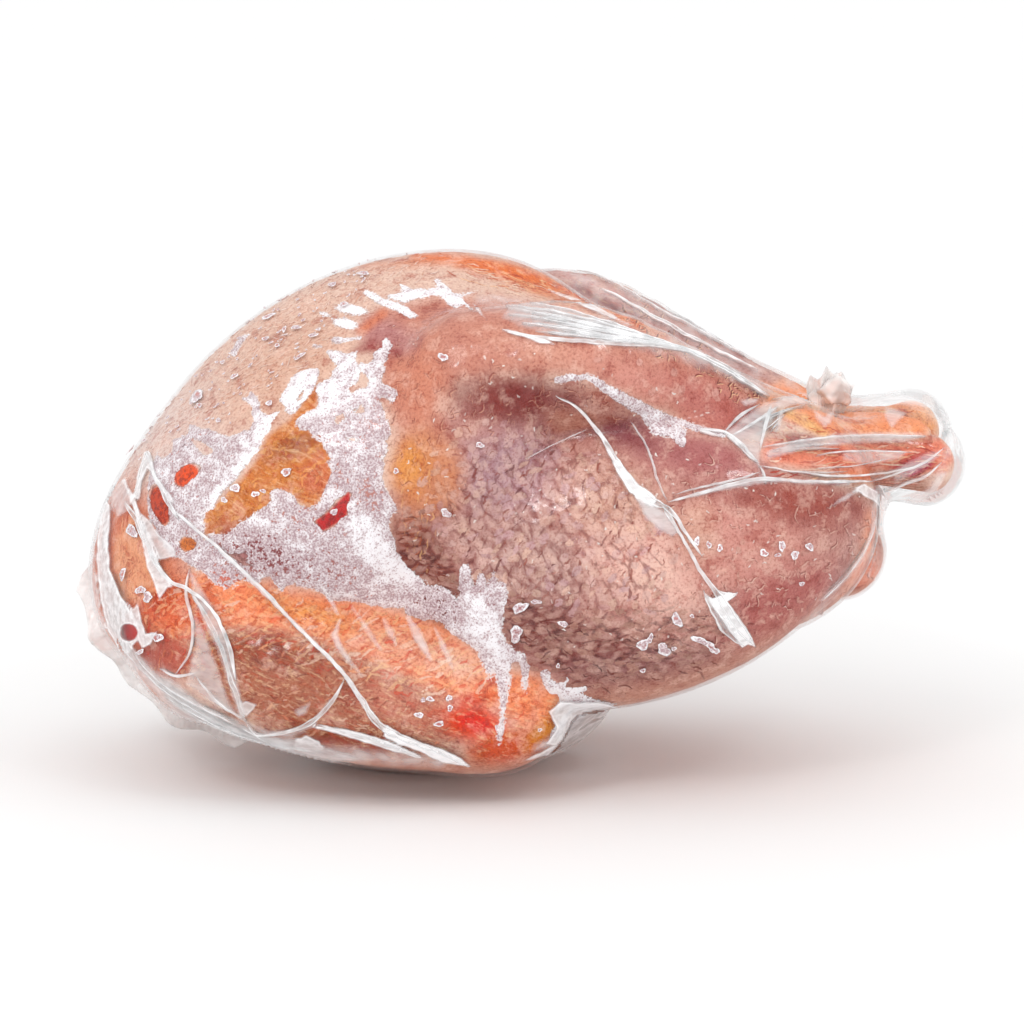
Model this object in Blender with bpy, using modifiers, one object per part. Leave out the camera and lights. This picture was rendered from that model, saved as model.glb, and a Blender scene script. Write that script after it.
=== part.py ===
"""Whole guinea fowl, frozen and shrink-wrapped in a clear bag, as one closed solid.

The bird lies on its back: +Z is up through the breast, +X runs from the neck end to
the hocks, and -Y is the bird's right side. The origin is at the middle of the base.
The solid is the outer face of the tight film, which follows the breast, the folded
wings, the thighs and the drumsticks, and bridges the hollows between them.
"""

import math

import bmesh
import bpy
from mathutils import Matrix, Vector
from mathutils.bvhtree import BVHTree

# Driving sizes, in millimetres
BREAST_WIDTH = 113.0
THIGH_SPREAD = 130.0      # over both thighs
NEAR_HOCK = (112.0, -9.5, 85.5)
FAR_HOCK = (110.0, 9.5, 92.0)
BACK_FLAT_DEPTH = 3.0     # how far the resting face is cut into the rounded back

# How the forms are fused
VOXEL = 2.6
SMOOTHING_ROUNDS = 12
TRIANGLES_KEPT = 6200

# The spare film that stands off the neck end, and the gathered film above the hocks
LIP_CENTRE = (-60.0, 63.0)    # of the arc that its edge follows, in X and Z
LIP_RADIUS = 63.5
LIP_FROM, LIP_TO = 187.0, 261.0
LIP_DEPTH = 15.0
LIP_THICKNESS = 1.8
LIP_SWAY = 3.2                # how far its edge waves to either side
LIP_WAVES = 17.0              # radians of that wave along the whole lip
TUFT_BASE = (85.0, 3.0, 93.0)
TUFT_HEIGHT = 16.0            # from its root inside the legs
TUFT_WIDTH = 13.0
TUFT_FOLDS = 2.5
TUFT_FOLD_DEPTH = 2.8

# Pleats drawn tight over the near side, as X and Z; the bag's far side has the same
PLEATS = {
    "thigh_pleat": ((13, 105), (23, 97), (31, 84), (38, 75), (46, 63), (53, 50), (62, 41)),
    "shank_pleat": ((40, 79), (57, 82), (74, 82), (98, 80)),
    "wing_pleat": ((-94, 82), (-81, 68), (-63, 53), (-44, 34), (-29, 16)),
    "neck_pleat": ((-86, 58), (-79, 48), (-74, 39), (-71, 24)),
}
PLEAT_RADIUS = 1.3
PLEAT_SINK = 0.5

FILM_COLOUR = (0.62, 0.30, 0.22, 1.0)
FILM_ROUGHNESS = 0.28
MM = 0.001


def clear_scene():
    for old in list(bpy.data.objects):
        bpy.data.objects.remove(old, do_unlink=True)


def new_collection(name):
    made = bpy.data.collections.new(name)
    bpy.context.scene.collection.children.link(made)
    return made


def place(obj, collection):
    """Moves an object that an operator made into one of this file's collections."""
    for old in list(obj.users_collection):
        old.objects.unlink(obj)
    collection.objects.link(obj)
    return obj


def ellipsoid(name, centre, radii, collection, pitch=0.0, yaw=0.0):
    """A sphere stretched to three radii, in millimetres; pitch lifts its +X end."""
    bpy.ops.mesh.primitive_uv_sphere_add(segments=40, ring_count=20, radius=1.0)
    obj = bpy.context.object
    obj.name = name
    turned = Matrix.Rotation(math.radians(yaw), 4, "Z") @ Matrix.Rotation(
        math.radians(-pitch), 4, "Y"
    )
    sized = Matrix.Diagonal((*[r * MM for r in radii], 1.0))
    obj.data.transform(Matrix.Translation(Vector(centre) * MM) @ turned @ sized)
    return place(obj, collection)


def limb(name, points, radii, collection, facets=5, between=8):
    """A tapering round limb through the points: a bevelled curve made a closed mesh."""
    curve = bpy.data.curves.new(name, "CURVE")
    curve.dimensions = "3D"
    curve.bevel_depth = MM
    curve.bevel_resolution = facets
    curve.resolution_u = between
    curve.use_fill_caps = True
    spline = curve.splines.new("BEZIER")
    spline.bezier_points.add(len(points) - 1)
    for knot, point, radius in zip(spline.bezier_points, points, radii):
        knot.co = Vector(point) * MM
        knot.radius = radius
        knot.handle_left_type = knot.handle_right_type = "AUTO"
    rod = bpy.data.objects.new(name + "_curve", curve)
    collection.objects.link(rod)
    bpy.context.view_layer.update()
    mesh = bpy.data.meshes.new_from_object(
        rod.evaluated_get(bpy.context.evaluated_depsgraph_get())
    )
    bpy.data.objects.remove(rod)
    welded = bmesh.new()
    welded.from_mesh(mesh)
    bmesh.ops.remove_doubles(welded, verts=welded.verts, dist=0.00002)
    bmesh.ops.recalc_face_normals(welded, faces=welded.faces)
    welded.to_mesh(mesh)
    welded.free()
    obj = bpy.data.objects.new(name, mesh)
    collection.objects.link(obj)
    return obj


def add_torso(forms):
    """Breast, back, belly and rump, down to the tail."""
    half = BREAST_WIDTH / 2
    ellipsoid("breast", (-44, 0, 78), (80, half, 50), forms, pitch=32)
    ellipsoid("keel", (-38, 0, 96), (64, 28, 42), forms, pitch=26)
    ellipsoid("ribs", (-30, 0, 44), (74, 50, 42), forms)
    ellipsoid("back", (-21, 0, 20 - BACK_FLAT_DEPTH), (46, 29, 20), forms)
    ellipsoid("belly", (15, 0, 88), (60, 37, 39), forms, pitch=-28)
    ellipsoid("rump", (48, 0, 66), (54, 35, 31), forms, pitch=18)
    ellipsoid("tail", (90, 0, 58), (13, 12, 12), forms, pitch=35)
    ellipsoid("neck", (-97, 0, 52), (18, 24, 24), forms)


def add_leg(side, shank_end, forms):
    """Thigh, knee and drumstick on one side; -1 is the near, right-hand leg."""
    across = THIGH_SPREAD / 2
    ellipsoid("thigh", (28, side * (across - 27), 64), (62, 27, 39), forms, pitch=14)
    ellipsoid("thigh_back", (66, side * 26, 74), (32, 21, 32), forms, pitch=14)
    ellipsoid("knee", (-12, side * 40, 98), (23, 19, 31), forms)
    knee = (-10, side * 38, 115)
    calf = (18, side * 39, 116)
    lower = (50, side * 31, 106)
    ankle = (78, side * 19, 93)
    limb("drumstick", (knee, calf, lower, ankle), (16, 17, 11.5, 8.5), forms)
    limb("shank", (ankle, shank_end), (8.0, 8.5), forms)
    ellipsoid("hock", shank_end, (9.5, 9.5, 10.5), forms)


def add_wing(side, forms):
    """The wing folded flat against the ribs, its elbow towards the thigh."""
    ellipsoid("wing", (-40, side * 46, 31), (54, 17, 21), forms, pitch=-9)
    ellipsoid("elbow", (-8, side * 46, 22), (20, 13, 14), forms)
    ellipsoid("shoulder", (-82, side * 34, 46), (27, 18, 27), forms, yaw=side * 35)


def add_film_bridges(forms):
    """Hollows that the tight film spans: beside the breast and under the hocks."""
    for side in (-1, 1):
        ellipsoid("armpit", (-34, side * 42, 62), (30, 13, 30), forms)
    ellipsoid("vent", (84, 0, 76), (17, 20, 22), forms)
    ellipsoid("hock_wrap", (104, 0, 88.5), (16, 17, 12), forms, pitch=-6)


def fuse(name, forms, collection):
    """Joins the collection's closed forms by one Boolean union, and drops them."""
    first = max(forms.objects, key=lambda form: len(form.data.polygons))
    body = bpy.data.objects.new(name, first.data.copy())
    collection.objects.link(body)
    bpy.data.objects.remove(first)
    join = body.modifiers.new("join", "BOOLEAN")
    join.operation = "UNION"
    join.operand_type = "COLLECTION"
    join.collection = forms
    join.solver = "EXACT"
    keep_result(body)
    for used in list(forms.objects):
        bpy.data.objects.remove(used)
    return body


def keep_result(body):
    """Applies every modifier of the body, in order."""
    bpy.context.view_layer.update()
    graph = bpy.context.evaluated_depsgraph_get()
    body.data = bpy.data.meshes.new_from_object(body.evaluated_get(graph))
    body.modifiers.clear()


def soften(body):
    """Draws the film tight: the creases between forms fill and round off."""
    skin = body.modifiers.new("film", "REMESH")
    skin.mode = "VOXEL"
    skin.voxel_size = VOXEL * MM
    smooth = body.modifiers.new("tighten", "SMOOTH")
    smooth.factor = 0.5
    smooth.iterations = SMOOTHING_ROUNDS
    keep_result(body)
    thinned = body.modifiers.new("thin", "DECIMATE")
    thinned.ratio = TRIANGLES_KEPT / (2 * len(body.data.polygons))
    keep_result(body)


def ribbon(name, rows, collection):
    """A closed strip from rows of four corner points, in millimetres, in turn."""
    made = bmesh.new()
    rings = [[made.verts.new(Vector(p) * MM) for p in row] for row in rows]
    made.faces.new(rings[0])
    made.faces.new(rings[-1])
    for near, far in zip(rings, rings[1:]):
        for k in range(4):
            after = (k + 1) % 4
            made.faces.new((near[k], near[after], far[after], far[k]))
    bmesh.ops.recalc_face_normals(made, faces=made.faces)
    mesh = bpy.data.meshes.new(name)
    made.to_mesh(mesh)
    made.free()
    obj = bpy.data.objects.new(name, mesh)
    collection.objects.link(obj)
    return obj


def add_lip(forms, steps=30):
    """The spare film at the neck end: a wavy fin whose edge follows an arc."""
    rows = []
    for i in range(steps + 1):
        t = i / steps
        turn = math.radians(LIP_FROM + (LIP_TO - LIP_FROM) * t)
        outer = LIP_RADIUS + 0.9 * math.sin(1.8 * LIP_WAVES * t) - 2.2 * t
        edge_y = LIP_SWAY * math.sin(LIP_WAVES * t) * (1 - 0.4 * t)
        ends = min(1.0, 7 * t + 0.35, 7 * (1 - t) + 0.25)
        outer -= (1 - ends) * 9
        row = []
        for radius, y, thick in (
            (outer, edge_y, 0.6 * LIP_THICKNESS),
            (outer - LIP_DEPTH * ends, 0.0, LIP_THICKNESS),
        ):
            x = LIP_CENTRE[0] + radius * math.cos(turn)
            z = LIP_CENTRE[1] + radius * math.sin(turn)
            row.append([(x, y - thick / 2, z), (x, y + thick / 2, z)])
        rows.append((row[0][0], row[0][1], row[1][1], row[1][0]))
    ribbon("film_lip", rows, forms)


def add_tuft(forms, steps=18):
    """The gathered film above the hocks: a pleated fan, wider at its free edge."""
    x0, y0, z0 = TUFT_BASE
    rows = []
    for i in range(steps + 1):
        t = i / steps
        across = t - 0.5
        fold = TUFT_FOLD_DEPTH * math.sin(t * TUFT_FOLDS * math.tau)
        top = TUFT_HEIGHT * (1 - 1.1 * across * across + 0.06 * math.sin(t * 19))
        foot = (x0 + 0.6 * TUFT_WIDTH * across, y0 + 0.2 * fold, z0)
        head = (x0 + TUFT_WIDTH * across + 1.5, y0 + fold, z0 + top)
        rows.append((
            (foot[0], foot[1] - 0.9, foot[2]),
            (foot[0], foot[1] + 0.9, foot[2]),
            (head[0], head[1] + 0.7, head[2]),
            (head[0], head[1] - 0.7, head[2]),
        ))
    ribbon("film_tuft", rows, forms)


def drawn_through(points, steps=3):
    """The points of a smooth line through the given ones (Catmull-Rom)."""
    knots = [Vector(points[0])] + [Vector(p) for p in points] + [Vector(points[-1])]
    line = []
    for a, b, c, d in zip(knots, knots[1:], knots[2:], knots[3:]):
        for i in range(steps):
            t = i / steps
            line.append(
                0.5 * (2 * b + (c - a) * t + (2 * a - 5 * b + 4 * c - d) * t * t
                       + (3 * b - a - 3 * c + d) * t ** 3)
            )
    return line + [Vector(points[-1])]


def add_pleats(body, forms):
    """Ridges of doubled film, laid on both sides of the body."""
    tree = BVHTree.FromPolygons(
        [v.co for v in body.data.vertices], [p.vertices for p in body.data.polygons]
    )
    for name, points in PLEATS.items():
        for side in (-1, 1):
            line = []
            for x, z in drawn_through(points):
                start = Vector((x, side * 200, z)) * MM
                hit, normal, _, _ = tree.ray_cast(start, Vector((0, -side, 0)))
                line.append((hit - normal * (PLEAT_SINK * MM)) / MM)
            last = len(line) - 1
            widths = [PLEAT_RADIUS * (0.45 + 0.55 * math.sin(math.pi * i / last) ** 0.5)
                      for i in range(len(line))]
            limb(name, line, widths, forms, facets=1, between=1)


def finish(body):
    """Splits the faces into triangles, puts the origin under the bird and adds the finish."""
    body.data.name = body.name
    tidy = bmesh.new()
    tidy.from_mesh(body.data)
    bmesh.ops.triangulate(tidy, faces=tidy.faces)
    corners = [v.co for v in tidy.verts]
    low = Vector(min(c[k] for c in corners) for k in range(3))
    high = Vector(max(c[k] for c in corners) for k in range(3))
    middle = (low + high) / 2
    bmesh.ops.translate(tidy, verts=tidy.verts, vec=(-middle.x, -middle.y, -low.z))
    tidy.to_mesh(body.data)
    tidy.free()
    film = bpy.data.materials.new("clear_film_over_skin")
    film.use_nodes = True
    shader = film.node_tree.nodes["Principled BSDF"]
    shader.inputs["Base Color"].default_value = FILM_COLOUR
    shader.inputs["Roughness"].default_value = FILM_ROUGHNESS
    shader.inputs["Metallic"].default_value = 0.0
    body.data.materials.append(film)


def cut_flat(body, collection):
    """Takes off everything below the resting face."""
    bpy.ops.mesh.primitive_cube_add(size=1.0)
    block = place(bpy.context.object, collection)
    block.data.transform(Matrix.Diagonal((0.4, 0.3, 0.02, 1.0)))
    block.data.transform(Matrix.Translation((0.0, 0.0, -0.01)))
    cut = body.modifiers.new("flat", "BOOLEAN")
    cut.operation = "DIFFERENCE"
    cut.object = block
    cut.solver = "EXACT"
    keep_result(body)
    bpy.data.objects.remove(block)


def main():
    clear_scene()
    parts = new_collection("guinea_fowl")
    forms = new_collection("forms")
    add_torso(forms)
    add_leg(-1, NEAR_HOCK, forms)
    add_leg(1, FAR_HOCK, forms)
    for side in (-1, 1):
        add_wing(side, forms)
    add_film_bridges(forms)
    bird = fuse("tight_film", forms, parts)
    soften(bird)
    add_lip(forms)
    add_tuft(forms)
    add_pleats(bird, forms)
    forms.objects.link(bird)
    parts.objects.unlink(bird)
    body = fuse("bagged_guinea_fowl", forms, parts)
    cut_flat(body, parts)
    finish(body)
    bpy.data.collections.remove(forms)


main()
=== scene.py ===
import math
from itertools import product

import bpy
import numpy as np
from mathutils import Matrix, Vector


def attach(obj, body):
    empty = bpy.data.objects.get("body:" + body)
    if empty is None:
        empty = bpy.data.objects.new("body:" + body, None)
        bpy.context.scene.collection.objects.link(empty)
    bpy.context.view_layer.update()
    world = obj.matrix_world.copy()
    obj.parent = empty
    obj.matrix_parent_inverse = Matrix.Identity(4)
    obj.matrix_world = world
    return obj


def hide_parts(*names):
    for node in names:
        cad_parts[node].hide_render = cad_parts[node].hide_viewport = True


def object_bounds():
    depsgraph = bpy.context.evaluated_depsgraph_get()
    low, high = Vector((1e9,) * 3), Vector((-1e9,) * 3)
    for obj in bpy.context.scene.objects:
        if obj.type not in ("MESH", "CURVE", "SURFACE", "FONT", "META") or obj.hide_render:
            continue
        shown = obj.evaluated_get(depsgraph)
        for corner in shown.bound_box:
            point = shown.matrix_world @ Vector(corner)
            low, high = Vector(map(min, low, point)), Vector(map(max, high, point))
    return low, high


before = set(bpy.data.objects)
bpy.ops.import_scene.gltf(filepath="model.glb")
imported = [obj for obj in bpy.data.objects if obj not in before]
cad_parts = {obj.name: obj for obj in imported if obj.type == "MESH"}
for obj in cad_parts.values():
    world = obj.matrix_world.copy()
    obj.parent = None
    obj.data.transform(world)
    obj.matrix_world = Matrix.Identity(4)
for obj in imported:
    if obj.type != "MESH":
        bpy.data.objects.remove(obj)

mm = 0.001
cadNode = "bagged_guinea_fowl"
boxLow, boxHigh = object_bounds()


# The view of the photograph, and its pixels

view = {
    "elevation": 10.0,          # degrees
    "distance": 1000.0,         # mm
    "nearest": 820.0,           # mm along a ray, before it meets the bird
    "aim": (0.0, 0.0, 70.5),
    "pixelsPerMm": 3.63,        # at the distance of the aim
    "frame": 1024,
    "sensor": 36.0,
}
lift = math.radians(view["elevation"])
towardCamera = np.array((0.0, -math.cos(lift), math.sin(lift)))
upInView = np.array((0.0, math.sin(lift), math.cos(lift)))
eye = np.array(view["aim"]) + towardCamera * view["distance"]


def toPhoto(points):
    # pixel = middle of the frame + offset / depth, for points in the row frame
    rel = points - np.array(view["aim"])
    grow = view["distance"] / (view["distance"] - rel @ towardCamera)
    half = view["frame"] / 2
    across = half + view["pixelsPerMm"] * rel[:, 0] * grow
    down = half - view["pixelsPerMm"] * (rel @ upInView) * grow
    return across, down


def raysThrough(pixels):
    # unit directions from the eye through pixels of the photograph
    pixels = np.asarray(pixels, float)
    offset = (pixels - view["frame"] / 2) / view["pixelsPerMm"]
    aimed = (-towardCamera * view["distance"]
             + offset[:, :1] * np.array((1.0, 0.0, 0.0)) - offset[:, 1:] * upInView)
    return aimed / np.linalg.norm(aimed, axis=1)[:, None]


# Small tools: easing, noise, and shapes drawn in the photograph's pixels

def eased(low, high, x):
    # 0 below low, 1 above high, 3t² - 2t³ between
    t = np.clip((x - low) / (high - low), 0.0, 1.0)
    return t * t * (3 - 2 * t)


def roughness(points, size, seed, octaves=3):
    # value noise of -1…1 on a lattice of the given size, each octave half as large
    cells = 24
    total = np.zeros(len(points))
    weight, norm = 1.0, 0.0
    for octave in range(octaves):
        corners = np.random.default_rng(seed + octave).uniform(-1, 1, (cells,) * points.shape[1])
        scaled = points / (size / 2 ** octave)
        cell = np.floor(scaled).astype(int)
        t = scaled - cell
        t = t * t * (3 - 2 * t)
        for corner in product((0, 1), repeat=points.shape[1]):
            share = np.prod(np.where(np.array(corner) == 1, t, 1 - t), axis=1)
            total += weight * share * corners[tuple(((cell + corner) % cells).T)]
        norm += weight
        weight *= 0.5
    return total / norm


def gapToRun(across, down, a, b):
    # distance to the straight run from a to b, and the share of it at the nearest point
    run = b - a
    t = np.clip(((across - a[0]) * run[0] + (down - a[1]) * run[1]) / (run @ run), 0, 1)
    return np.hypot(across - a[0] - t * run[0], down - a[1] - t * run[1]), t


def strokeDepth(across, down, points, widths):
    # half width of a broken line less the distance to it; the width runs evenly along it
    points = np.asarray(points, float)
    widths = np.interp(np.linspace(0, 1, len(points)), np.linspace(0, 1, len(widths)), widths)
    best = np.full(len(across), -1e3)
    for a, b, wa, wb in zip(points[:-1], points[1:], widths[:-1], widths[1:]):
        gap, t = gapToRun(across, down, a, b)
        best = np.maximum(best, (wa + t * (wb - wa)) / 2 - gap)
    return best


def outlineDepth(across, down, points):
    # distance to the edge of a closed outline, positive inside it
    points = np.asarray(points, float)
    gap = np.full(len(across), 1e3)
    inside = np.zeros(len(across), bool)
    for a, b in zip(points, np.roll(points, -1, axis=0)):
        gap = np.minimum(gap, gapToRun(across, down, a, b)[0])
        if a[1] != b[1]:
            crossed = (a[1] > down) != (b[1] > down)
            inside ^= crossed & (across < (b[0] - a[0]) * (down - a[1]) / (b[1] - a[1]) + a[0])
    return np.where(inside, gap, -gap)


def ovalDepth(across, down, oval):
    # (1 - scaled radius) times the smaller radius; oval is centre, two radii and a turn
    x, y, long, short = oval[:4]
    turn = math.radians(oval[4] if len(oval) > 4 else 0.0)
    a = ((across - x) * math.cos(turn) + (down - y) * math.sin(turn)) / long
    b = ((down - y) * math.cos(turn) - (across - x) * math.sin(turn)) / short
    return (1 - np.hypot(a, b)) * min(long, short)


boxReach = 60     # pixels outside an outline's box where its own distance still counts


def depthIn(across, down, shape):
    # points farther outside an outline's box take the distance to the box instead
    if shape[0] == "oval":
        return ovalDepth(across, down, shape[1:])
    points = np.array(shape[-1], float)
    low, high = points.min(axis=0), points.max(axis=0)
    beside = np.maximum(np.maximum(low[0] - across, across - high[0]), 0)
    above = np.maximum(np.maximum(low[1] - down, down - high[1]), 0)
    depth = -np.hypot(beside, above)
    near = depth > -boxReach
    if shape[0] == "stroke":
        depth[near] = strokeDepth(across[near], down[near], points, shape[1])
    else:
        depth[near] = outlineDepth(across[near], down[near], points)
    return depth


def linear(colour):
    # sRGB of 0…255 to linear light
    c = np.asarray(colour, float) / 255
    return np.where(c <= 0.04045, c / 12.92, ((c + 0.055) / 1.055) ** 2.4)


# The forms of the bird, as part.py has them

neckFlap = {
    "centre": (-60.0, 63.0),     # of the arc that its edge follows, in X and Z
    "radius": 63.5,
    "from": 187.0, "to": 261.0,  # degrees
    "depth": 15.0,
    "sway": 3.2,
    "waves": 17.0,
    "grid": (200, 22), "laidOut": (90, 9),     # points, and mm, along it and across
    "scallop": 0.9,              # mm in and out along its edge
    "narrowing": 2.2, "corner": 9,     # mm lost towards the end, and at both ends
}


def flapEdge(t):
    # distance of the flap's edge from the arc's centre, for t of 0…1 along it
    scallop = neckFlap["scallop"] * np.sin(1.8 * neckFlap["waves"] * t)
    outer = neckFlap["radius"] + scallop - neckFlap["narrowing"] * t
    ends = np.minimum(1.0, np.minimum(7 * t + 0.35, 7 * (1 - t) + 0.25))
    return outer - (1 - ends) * neckFlap["corner"], ends


flapSteps = np.linspace(0, 1, 400)
flapTurns = np.radians(neckFlap["from"] + (neckFlap["to"] - neckFlap["from"]) * flapSteps)
flapLeft = (neckFlap["centre"][0] + flapEdge(flapSteps)[0] * np.cos(flapTurns)).min()
shift = np.array((boxLow.x / mm - flapLeft, 0.0, 0.0))   # construction frame to row frame

bodyForms = {    # centre, radii, pitch that lifts the +X end
    "breast": ((-44, 0, 78), (80, 56.5, 50), 32),
    "keel": ((-38, 0, 96), (64, 28, 42), 26),
    "ribs": ((-30, 0, 44), (74, 50, 42), 0),
    "back": ((-21, 0, 17), (46, 29, 20), 0),
    "belly": ((15, 0, 88), (60, 37, 39), -28),
    "rump": ((48, 0, 66), (54, 35, 31), 18),
    "tail": ((90, 0, 58), (13, 12, 12), 35),
    "neck": ((-97, 0, 52), (18, 24, 24), 0),
}
sideForms = {    # the same, and a yaw; Y is outwards
    "thigh": ((28, 38, 64), (62, 27, 39), 14, 0),
    "thighBack": ((66, 26, 74), (32, 21, 32), 14, 0),
    "knee": ((-12, 40, 98), (23, 19, 31), 0, 0),
    "wing": ((-40, 46, 31), (54, 17, 21), -9, 0),
    "elbow": ((-8, 46, 22), (20, 13, 14), 0, 0),
    "shoulder": ((-82, 34, 46), (27, 18, 27), 0, 35),
}
bridges = {      # where only the film spans a hollow
    "armpit": ((-34, 42, 62), (30, 13, 30), 0, 0),
    "vent": ((84, 0, 76), (17, 20, 22), 0, 0),
    "hockWrap": ((104, 0, 88.5), (16, 17, 12), -6, 0),
}
drumstick = {"points": ((-10, 38, 115), (18, 39, 116), (50, 31, 106), (78, 19, 93)),
             "radii": (16, 17, 11.5, 8.5)}
hocks = {-1: (112.0, -9.5, 85.5), 1: (110.0, 9.5, 92.0)}
shankRadius = 8.0
hockRadii = (9.5, 9.5, 10.5)
looseness = {"shank": 2.0, "hock": 2.2}     # how far the film stands off, mm


def oneEllipsoid(centre, radii, pitch=0.0, yaw=0.0, side=1):
    p, y = math.radians(-pitch), math.radians(yaw * side)
    tip = np.array(((math.cos(p), 0, math.sin(p)), (0, 1, 0), (-math.sin(p), 0, math.cos(p))))
    swing = np.array(((math.cos(y), -math.sin(y), 0), (math.sin(y), math.cos(y), 0), (0, 0, 1)))
    where = np.array((centre[0], centre[1] * side, centre[2]), float) + shift
    return ("ellipsoid", where, np.array(radii, float), swing @ tip)


def smoothLine(points, steps):
    # Catmull-Rom through the points, as one array
    p = np.asarray(points, float)
    p = np.vstack((2 * p[0] - p[1], p, 2 * p[-1] - p[-2]))
    t = np.linspace(0, 1, steps, endpoint=False)[None, :, None]
    a, b, c, d = p[:-3, None], p[1:-2, None], p[2:-1, None], p[3:, None]
    curve = 0.5 * (2 * b + (c - a) * t + (2 * a - 5 * b + 4 * c - d) * t ** 2
                   + (3 * b - a - 3 * c + d) * t ** 3)
    return np.vstack((curve.reshape(-1, p.shape[1]), p[-2]))


def oneLimb(points, radii):
    line = smoothLine(np.column_stack((np.asarray(points, float) + shift, radii)), 4)
    return ("limb", line[:, :3], line[:, 3])


def birdForms(withFilm):
    # every form of the bird; with the film, its bridges too and the loose film at the hocks
    forms = [oneEllipsoid(*form) for form in bodyForms.values()]
    slack = 0.0 if withFilm else 1.0
    for side in (-1, 1):
        forms += [oneEllipsoid(*form, side=side) for form in sideForms.values()]
        points = [(x, side * y, z) for x, y, z in drumstick["points"]]
        forms.append(oneLimb(points, drumstick["radii"]))
        thin = shankRadius - slack * looseness["shank"]
        forms.append(oneLimb((points[-1], hocks[side]), (thin, thin + 0.5)))
        small = np.array(hockRadii) - slack * looseness["hock"]
        forms.append(oneEllipsoid(hocks[side], small))
        if withFilm:
            forms.append(oneEllipsoid(*bridges["armpit"], side=side))
    if withFilm:
        forms += [oneEllipsoid(*bridges[name]) for name in ("vent", "hockWrap")]
    return forms


def formDistance(points, form):
    if form[0] == "ellipsoid":
        local = (points - form[1]) @ form[3]
        near = np.linalg.norm(local / form[2], axis=1)
        steep = np.linalg.norm(local / form[2] ** 2, axis=1)
        return near * (near - 1) / np.maximum(steep, 1e-9)
    best = np.full(len(points), 1e6)
    for a, b, ra, rb in zip(form[1][:-1], form[1][1:], form[2][:-1], form[2][1:]):
        run = b - a
        t = np.clip((points - a) @ run / (run @ run), 0, 1)
        gap = np.linalg.norm(points - a - t[:, None] * run, axis=1)
        best = np.minimum(best, gap - ra - t * (rb - ra))
    return best


def surfaceDistance(points, forms, blend, offset=0.0):
    # smooth union: -k ln Σ exp(-d/k), so that a crease fills to about k
    gaps = np.stack([formDistance(points, form) for form in forms])
    low = gaps.min(axis=0)
    return low - blend * np.log(np.exp(-(gaps - low) / blend).sum(axis=0)) - offset


surfaces = {
    "skin": {"forms": birdForms(False), "blend": 1.8, "offset": -0.9},
    "film": {"forms": birdForms(True), "blend": 2.2, "offset": -0.1},
}


def distanceTo(name, points):
    s = surfaces[name]
    return surfaceDistance(points, s["forms"], s["blend"], s["offset"])


def outwardAt(name, points):
    # gradient of the distance, by differences over half a millimetre
    step = 0.5
    parts = [distanceTo(name, points + step * axis) - distanceTo(name, points - step * axis)
             for axis in np.eye(3)]
    slope = np.stack(parts, axis=1)
    return slope / np.maximum(np.linalg.norm(slope, axis=1), 1e-9)[:, None]


def marchedIn(name, origins, directions, reach, rounds):
    # slides each point along its ray by its distance to the surface, from outside
    for _ in range(rounds):
        reach = reach - 0.9 * distanceTo(name, origins + directions * reach[:, None])
    return reach


# The grid of rays that the skin and the film both use

spine = {
    "left": (-72.0, 0.0, 62.0), "right": (88.0, 0.0, 80.0),
    "leftCap": 92.0, "rightCap": 58.0,      # mm of surface given to each round end
    "rows": 300,
    "columns": 312,
    "nearDensity": 0.3,                     # how much closer the columns stand at -Y
    "coarse": (100, 104),                   # rows and columns solved first, from outside
    "outside": 140.0,                       # mm along its ray where each point starts
    "coarseRounds": 34, "fineRounds": 7,
}


def spineRays(rows, columns):
    # rays out of a straight spine, with a half turn of rays at both ends; poles left out
    left, right = np.array(spine["left"]) + shift, np.array(spine["right"]) + shift
    body = np.linalg.norm(right - left)
    total = spine["leftCap"] + body + spine["rightCap"]
    s = (np.arange(rows) + 1) / (rows + 1) * total
    along = np.clip((s - spine["leftCap"]) / body, 0, 1)
    tilt = np.where(s < spine["leftCap"], (s / spine["leftCap"] - 1) * math.pi / 2, 0.0)
    past = s - spine["leftCap"] - body
    tilt = np.where(past > 0, past / spine["rightCap"] * math.pi / 2, tilt)
    w = 2 * math.pi * (np.arange(columns) / columns - 0.5)
    around = w - spine["nearDensity"] * np.sin(w)
    ring = np.column_stack((np.zeros(columns), -np.cos(around), np.sin(around)))
    axis = (right - left) / body
    aimed = (np.cos(tilt)[:, None, None] * ring[None]
             + np.sin(tilt)[:, None, None] * axis[None, None])
    aimed /= np.linalg.norm(aimed, axis=2)[:, :, None]
    starts = left + along[:, None] * (right - left)
    starts = np.repeat(starts[:, None, :], columns, axis=1)
    ends = np.array((left, right))
    tips = np.array((-axis, axis))
    return (np.vstack((starts.reshape(-1, 3), ends)), np.vstack((aimed.reshape(-1, 3), tips)))


def enlarged(values, rows, columns, fineRows, fineColumns):
    # a coarse grid's reach read between its points, so that the fine grid starts close
    grid = values[:-2].reshape(rows, columns)
    r = (np.arange(fineRows) + 1) / (fineRows + 1) * (rows + 1) - 1
    c = np.arange(fineColumns) / fineColumns * columns
    r = np.clip(r, 0, rows - 1.001)
    r0, c0 = r.astype(int), c.astype(int)
    fr, fc = (r - r0)[:, None], (c - c0)[None, :]
    c1 = (c0 + 1) % columns
    top = grid[r0][:, c0] * (1 - fc) + grid[r0][:, c1] * fc
    low = grid[r0 + 1][:, c0] * (1 - fc) + grid[r0 + 1][:, c1] * fc
    return np.concatenate(((top * (1 - fr) + low * fr).ravel(), values[-2:]))


def rested(points, least):
    # the underside lies flat, at that height above the floor in mm
    points[:, 2] = np.maximum(points[:, 2], least)
    return points


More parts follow.
